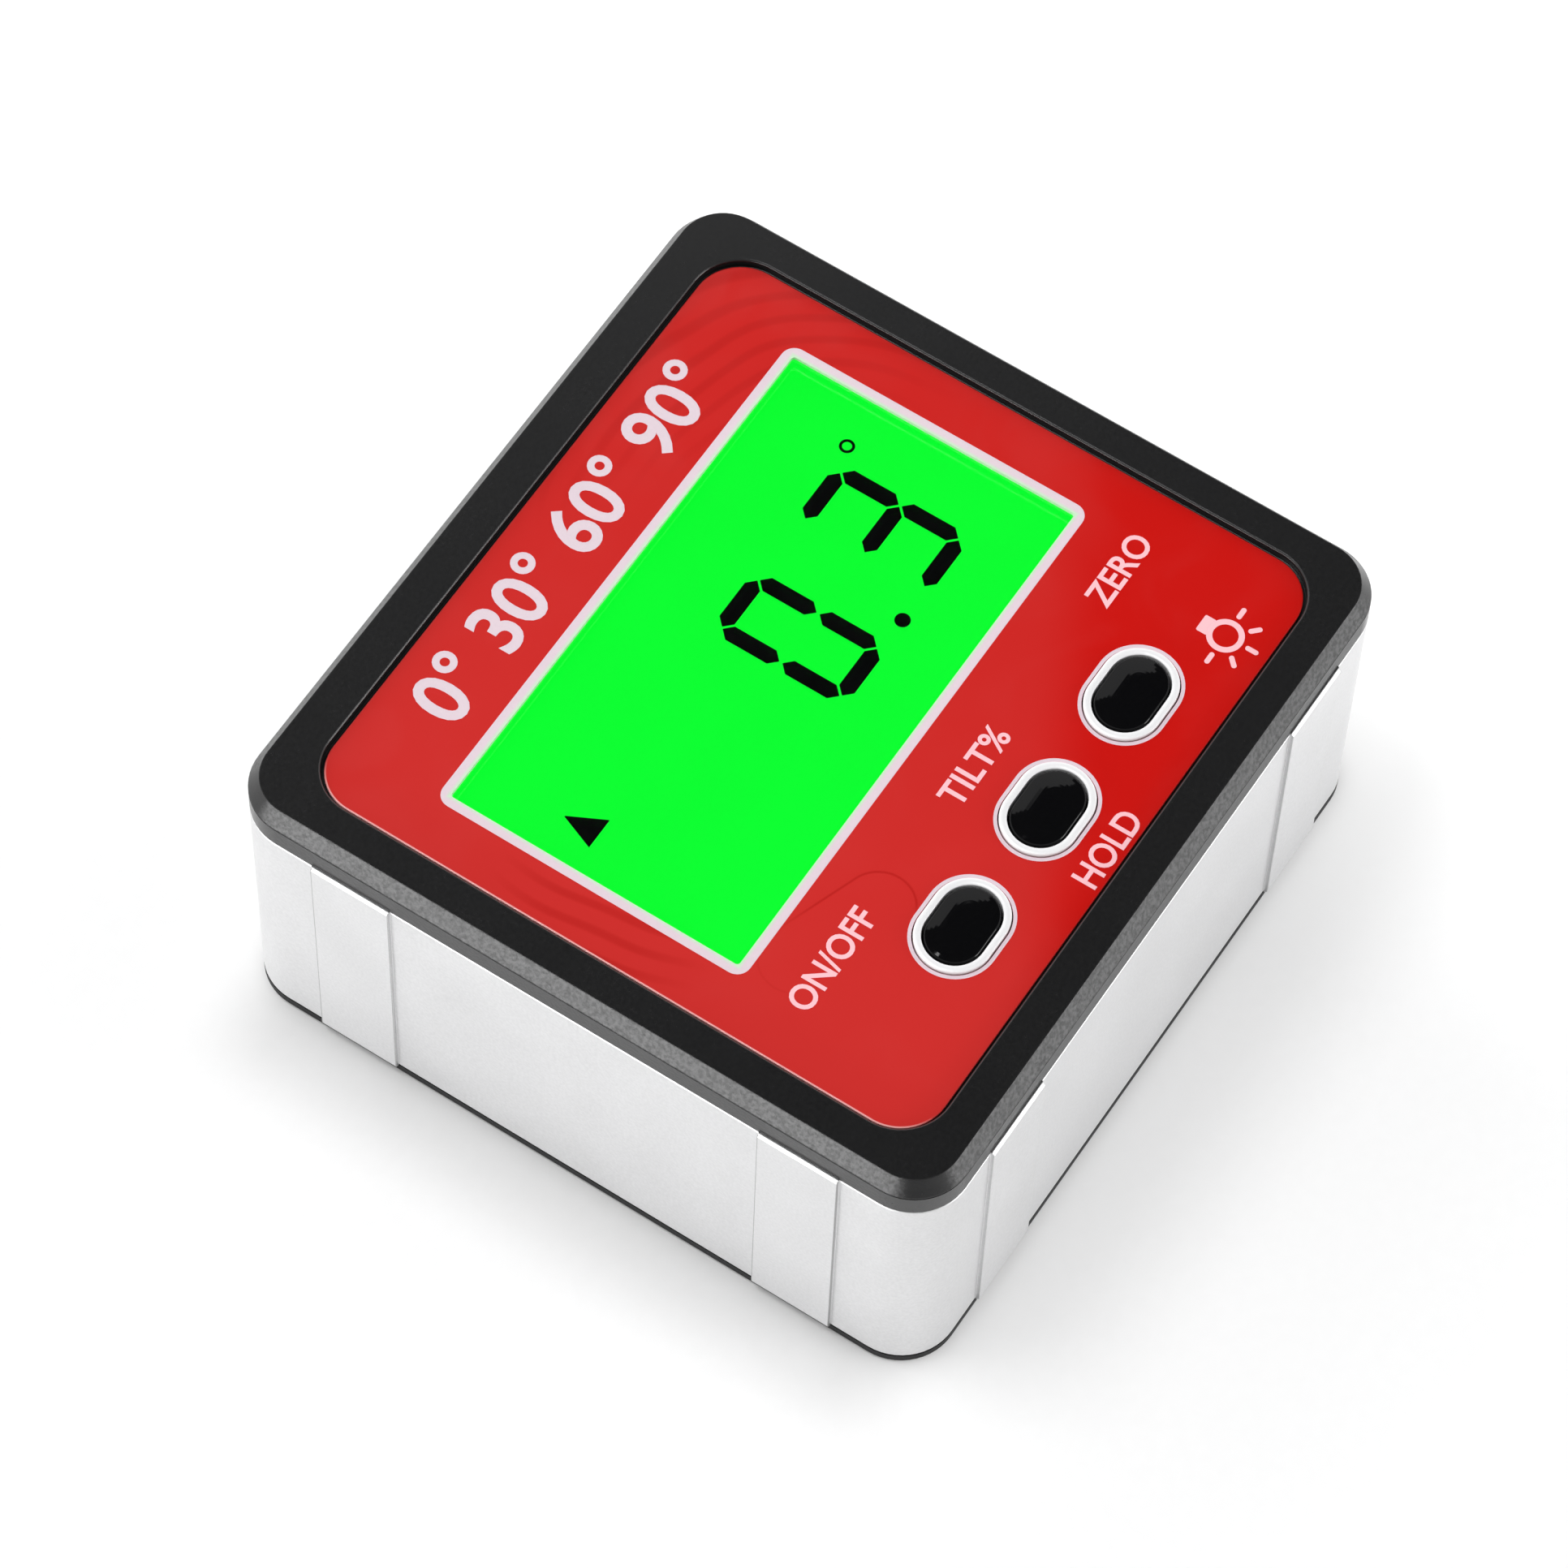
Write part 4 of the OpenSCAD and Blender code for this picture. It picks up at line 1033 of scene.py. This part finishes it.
class GAUGE_OT_dress_insides(bpy.types.Operator):
    """Gives the display's holder, the board, the cells and the fasteners their finishes"""

    bl_idname = "gauge.dress_insides"
    bl_label = "Dress insides"

    def execute(self, context):
        finish = context.scene.gauge_finish
        fine = 0.2 * MM
        dress(["main_board"], board_finish(finish))
        dress(["cell_a", "cell_b"], cell_finish(finish))
        dress(["lcd_holder"], grained("white_plastic", (0.8, 0.8, 0.77), fine, 0.04, 0.45, 0.08))
        dress(["backlight_panel"], grained("light_panel", (0.82, 0.9, 0.82), fine, 0.03, 0.25, 0.05))
        dress(["backlight_led"], grained("lamp", (0.85, 0.82, 0.6), fine, 0.05, 0.3, 0.05))
        dress(["zebra_strips"], grained("strip_rubber", (0.09, 0.09, 0.11), 0.4 * MM, 0.5, 0.7, 0.1))
        dress(["controller_chip"], grained("resin_black", (0.012, 0.012, 0.012), fine, 0.2, 0.3, 0.1))
        dress(["tilt_sensor"], grained("chip_black", (0.03, 0.03, 0.033), fine, 0.2, 0.5, 0.1))
        dress(["crystal"], grained("plated_steel", (0.7, 0.7, 0.7), fine, 0.05, 0.28, 0.08, metal=1.0))
        dress(["capacitors"], grained("capacitor_tan", (0.45, 0.32, 0.17), fine, 0.1, 0.4, 0.1))
        switch = grained("switch_plastic", (0.05, 0.05, 0.055), fine, 0.2, 0.5, 0.1)
        dress(["key_switches", "plunger_power", "plunger_hold", "plunger_zero"], switch)
        contact = grained("contact_metal", (0.72, 0.68, 0.58), fine, 0.06, 0.3, 0.1, metal=1.0)
        dress(["contact_positive", "contact_negative", "contact_bridge"], contact)
        nickel = grained("magnet_nickel", (0.6, 0.58, 0.54), fine, 0.05, 0.22, 0.06, metal=1.0)
        dress(["base_magnets"], nickel)
        screw = grained("screw_steel", (0.32, 0.32, 0.33), 0.12 * MM, 0.12, 0.34, 0.12, metal=1.0)
        dress(["cover_screws", "board_screws"], screw)
        return {"FINISHED"}


class GAUGE_OT_set_stage(bpy.types.Operator):
    """Sets the floor, the lamps, the world and the camera"""

    bl_idname = "gauge.set_stage"
    bl_label = "Set stage"

    def execute(self, context):
        stage = context.scene.gauge_stage
        context.scene.view_settings.view_transform = "Standard"
        self.lay_floor(stage)
        self.light_world(context.scene, stage)
        self.hang_lamp("lamp_left", where=(-0.55, 0.16, 0.06), size=(0.5, 0.11), power=stage.left)
        self.hang_lamp("lamp_front", where=(0.15, -0.555, 0.11), size=(0.25, 0.2), power=stage.front)
        self.hang_lamp("lamp_far", where=(0.385, 0.435, 0.573), size=(0.8, 0.3), power=stage.far)
        self.hang_lamp("lamp_behind", where=(-0.14, 0.256, 0.84), size=(0.3, 0.3), power=stage.behind)
        self.place_camera(context.scene, stage)
        return {"FINISHED"}

    def lay_floor(self, stage):
        """Pale floor that takes the shadow, seen through from below."""
        half = 2.0
        speckle_scale = 900.0
        corners = [(-half, -half, 0), (half, -half, 0), (half, half, 0), (-half, half, 0)]
        mesh = bpy.data.meshes.new("floor")
        mesh.from_pydata(corners, [], [(0, 1, 2, 3)])
        material, w, shader = new_material("floor")
        speckle = w.noise(w.places(), speckle_scale, detail=2.0)
        w.feed(shader["Base Color"], w.scaled(stage.floor, w.spread(speckle, 0.3, 0.7, 0.99, 1.0)))
        w.feed(shader["Roughness"], 0.8)
        w.feed(shader["Specular IOR Level"], 0.1)
        w.feed(shader["Emission Color"], (1.0, 1.0, 1.0))
        w.feed(shader["Emission Strength"], self.floor_light(w, stage))
        below = w.add("ShaderNodeNewGeometry").outputs["Backfacing"]
        through = w.add("ShaderNodeMixShader")
        w.feed(through.inputs[0], below)
        w.links.new(w.nodes["Principled BSDF"].outputs[0], through.inputs[1])
        w.links.new(w.add("ShaderNodeBsdfTransparent").outputs[0], through.inputs[2])
        w.links.new(through.outputs[0], w.nodes["Material Output"].inputs["Surface"])
        mesh.materials.append(material)
        floor = bpy.data.objects.new("floor", mesh)
        bpy.context.scene.collection.objects.link(floor)

    def floor_light(self, w, stage):
        """The floor's own light: less at the gauge's left, more to its right, and a glow under its back."""
        deepest = 0.5 * MM
        glow_inset = 1.2 * MM
        where = w.places()
        at = w.parts(where)
        off_left = w.maths("SUBTRACT", -HOUSING_HALF.x, at["X"])
        off_middle = w.maths("ABSOLUTE", at["Y"])
        rising = w.spread(off_left, -3 * MM, deepest)
        falling = w.spread(off_left, deepest, 9 * MM, 1.0, 0.0)
        beside = w.spread(off_middle, HOUSING_HALF.y - 6 * MM, HOUSING_HALF.y + 2 * MM, 1.0, 0.0)
        shade = w.maths("MULTIPLY", w.maths("MULTIPLY", rising, falling), beside)
        rays = w.add("ShaderNodeLightPath").outputs
        seen = w.maths("MAXIMUM", rays["Is Camera Ray"], rays["Is Glossy Ray"])
        seen = w.maths("MAXIMUM", seen, rays["Is Transmission Ray"])
        clearing = w.maths("MULTIPLY", w.spread(at["X"], 10 * MM, 38 * MM), stage.clearing)
        even = w.maths("MULTIPLY", w.maths("SUBTRACT", 1.0, shade), stage.floor_lift)
        lift = w.maths("MULTIPLY", seen, w.maths("ADD", even, clearing))
        off_core = w.vector("LENGTH", past_core(w, where, HOUSING_HALF, HOUSING_CORNER), output="Value")
        within = w.maths("LESS_THAN", off_core, HOUSING_CORNER - glow_inset)
        return w.maths("MAXIMUM", lift, w.maths("MULTIPLY", within, stage.beneath))

    def light_world(self, scene, stage):
        """Bright dome with a dark patch where the flat face mirrors it, white to the camera."""
        world = bpy.data.worlds.new("studio")
        world.use_nodes = True
        w = Wiring(world.node_tree)
        mirrored = self.backwards(stage) * Vector((-1.0, -1.0, 1.0))
        where = w.add("ShaderNodeTexCoord").outputs["Generated"]
        near = w.dot(where, mirrored)
        bright_side = Vector((0.8, 0.6, 0.0)) * stage.dome_lean
        lean = w.maths("ADD", 1.0, w.dot(where, bright_side))
        edge = (math.cos(stage.patch_outer), math.cos(stage.patch_inner))
        strength = w.spread(near, *edge, w.maths("MULTIPLY", lean, stage.dome), stage.dome_patch)
        seen = w.add("ShaderNodeLightPath").outputs["Is Camera Ray"]
        background = w.nodes["Background"].inputs
        w.feed(background["Color"], (1.0, 1.0, 1.0))
        w.feed(background["Strength"], w.maths("MAXIMUM", seen, strength))
        scene.world = world

    def hang_lamp(self, name, where, size, power):
        """A soft rectangular lamp that faces the gauge."""
        gauge_middle = Vector((0.0, 0.0, 13 * MM))
        lamp = bpy.data.lights.new(name, "AREA")
        lamp.shape = "RECTANGLE"
        lamp.size, lamp.size_y = size
        lamp.energy = power
        holder = bpy.data.objects.new(name, lamp)
        holder.location = where
        holder.rotation_mode = "QUATERNION"
        holder.rotation_quaternion = (gauge_middle - Vector(where)).to_track_quat("-Z", "Y")
        bpy.context.scene.collection.objects.link(holder)

    def backwards(self, stage):
        """Direction from the aim to the camera."""
        flat = math.cos(stage.elevation)
        x = math.sin(stage.azimuth) * flat
        y = -math.cos(stage.azimuth) * flat
        return Vector((x, y, math.sin(stage.elevation)))

    def place_camera(self, scene, stage):
        """Camera at the photograph's viewing angle."""
        data = bpy.data.cameras.new("camera")
        data.sensor_width = 36.0
        data.lens = stage.lens
        data.clip_start = 0.01
        data.clip_end = 20.0
        back = self.backwards(stage)
        camera = bpy.data.objects.new("camera", data)
        camera.location = Vector(stage.aim) + back * stage.distance
        camera.rotation_mode = "QUATERNION"
        level = (-back).to_track_quat("-Z", "Y")
        camera.rotation_quaternion = level @ Quaternion((0.0, 0.0, 1.0), stage.roll)
        scene.collection.objects.link(camera)
        scene.camera = camera


OPERATORS = (
    GAUGE_OT_dress_frame,
    GAUGE_OT_dress_covers,
    GAUGE_OT_print_face,
    GAUGE_OT_light_display,
    GAUGE_OT_dress_keys,
    GAUGE_OT_dress_insides,
    GAUGE_OT_set_stage,
)


class GAUGE_PT_sidebar(bpy.types.Panel):
    """Lists the steps that dress the gauge"""

    bl_idname = "GAUGE_PT_sidebar"
    bl_label = "Angle gauge"
    bl_space_type = "VIEW_3D"
    bl_region_type = "UI"
    bl_category = "Gauge"

    def draw(self, context):
        for operator in OPERATORS:
            self.layout.operator(operator.bl_idname)
        for group in (context.scene.gauge_finish, context.scene.gauge_print, context.scene.gauge_stage):
            box = self.layout.box()
            for name in group.__annotations__:
                box.prop(group, name)


CLASSES = (GaugeFinish, GaugePrint, GaugeStage, *OPERATORS, GAUGE_PT_sidebar)


def register():
    """Makes the classes and the scene's settings known to Blender."""
    for item in CLASSES:
        bpy.utils.register_class(item)
    bpy.types.Scene.gauge_finish = bpy.props.PointerProperty(type=GaugeFinish)
    bpy.types.Scene.gauge_print = bpy.props.PointerProperty(type=GaugePrint)
    bpy.types.Scene.gauge_stage = bpy.props.PointerProperty(type=GaugeStage)


def unregister():
    """Takes back what register made known."""
    del bpy.types.Scene.gauge_stage
    del bpy.types.Scene.gauge_print
    del bpy.types.Scene.gauge_finish
    for item in reversed(CLASSES):
        bpy.utils.unregister_class(item)


def main():
    """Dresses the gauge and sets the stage."""
    register()
    bpy.ops.gauge.dress_frame()
    bpy.ops.gauge.dress_covers()
    bpy.ops.gauge.print_face()
    bpy.ops.gauge.light_display()
    bpy.ops.gauge.dress_keys()
    bpy.ops.gauge.dress_insides()
    bpy.ops.gauge.set_stage()


if __name__ == "__main__":
    main()
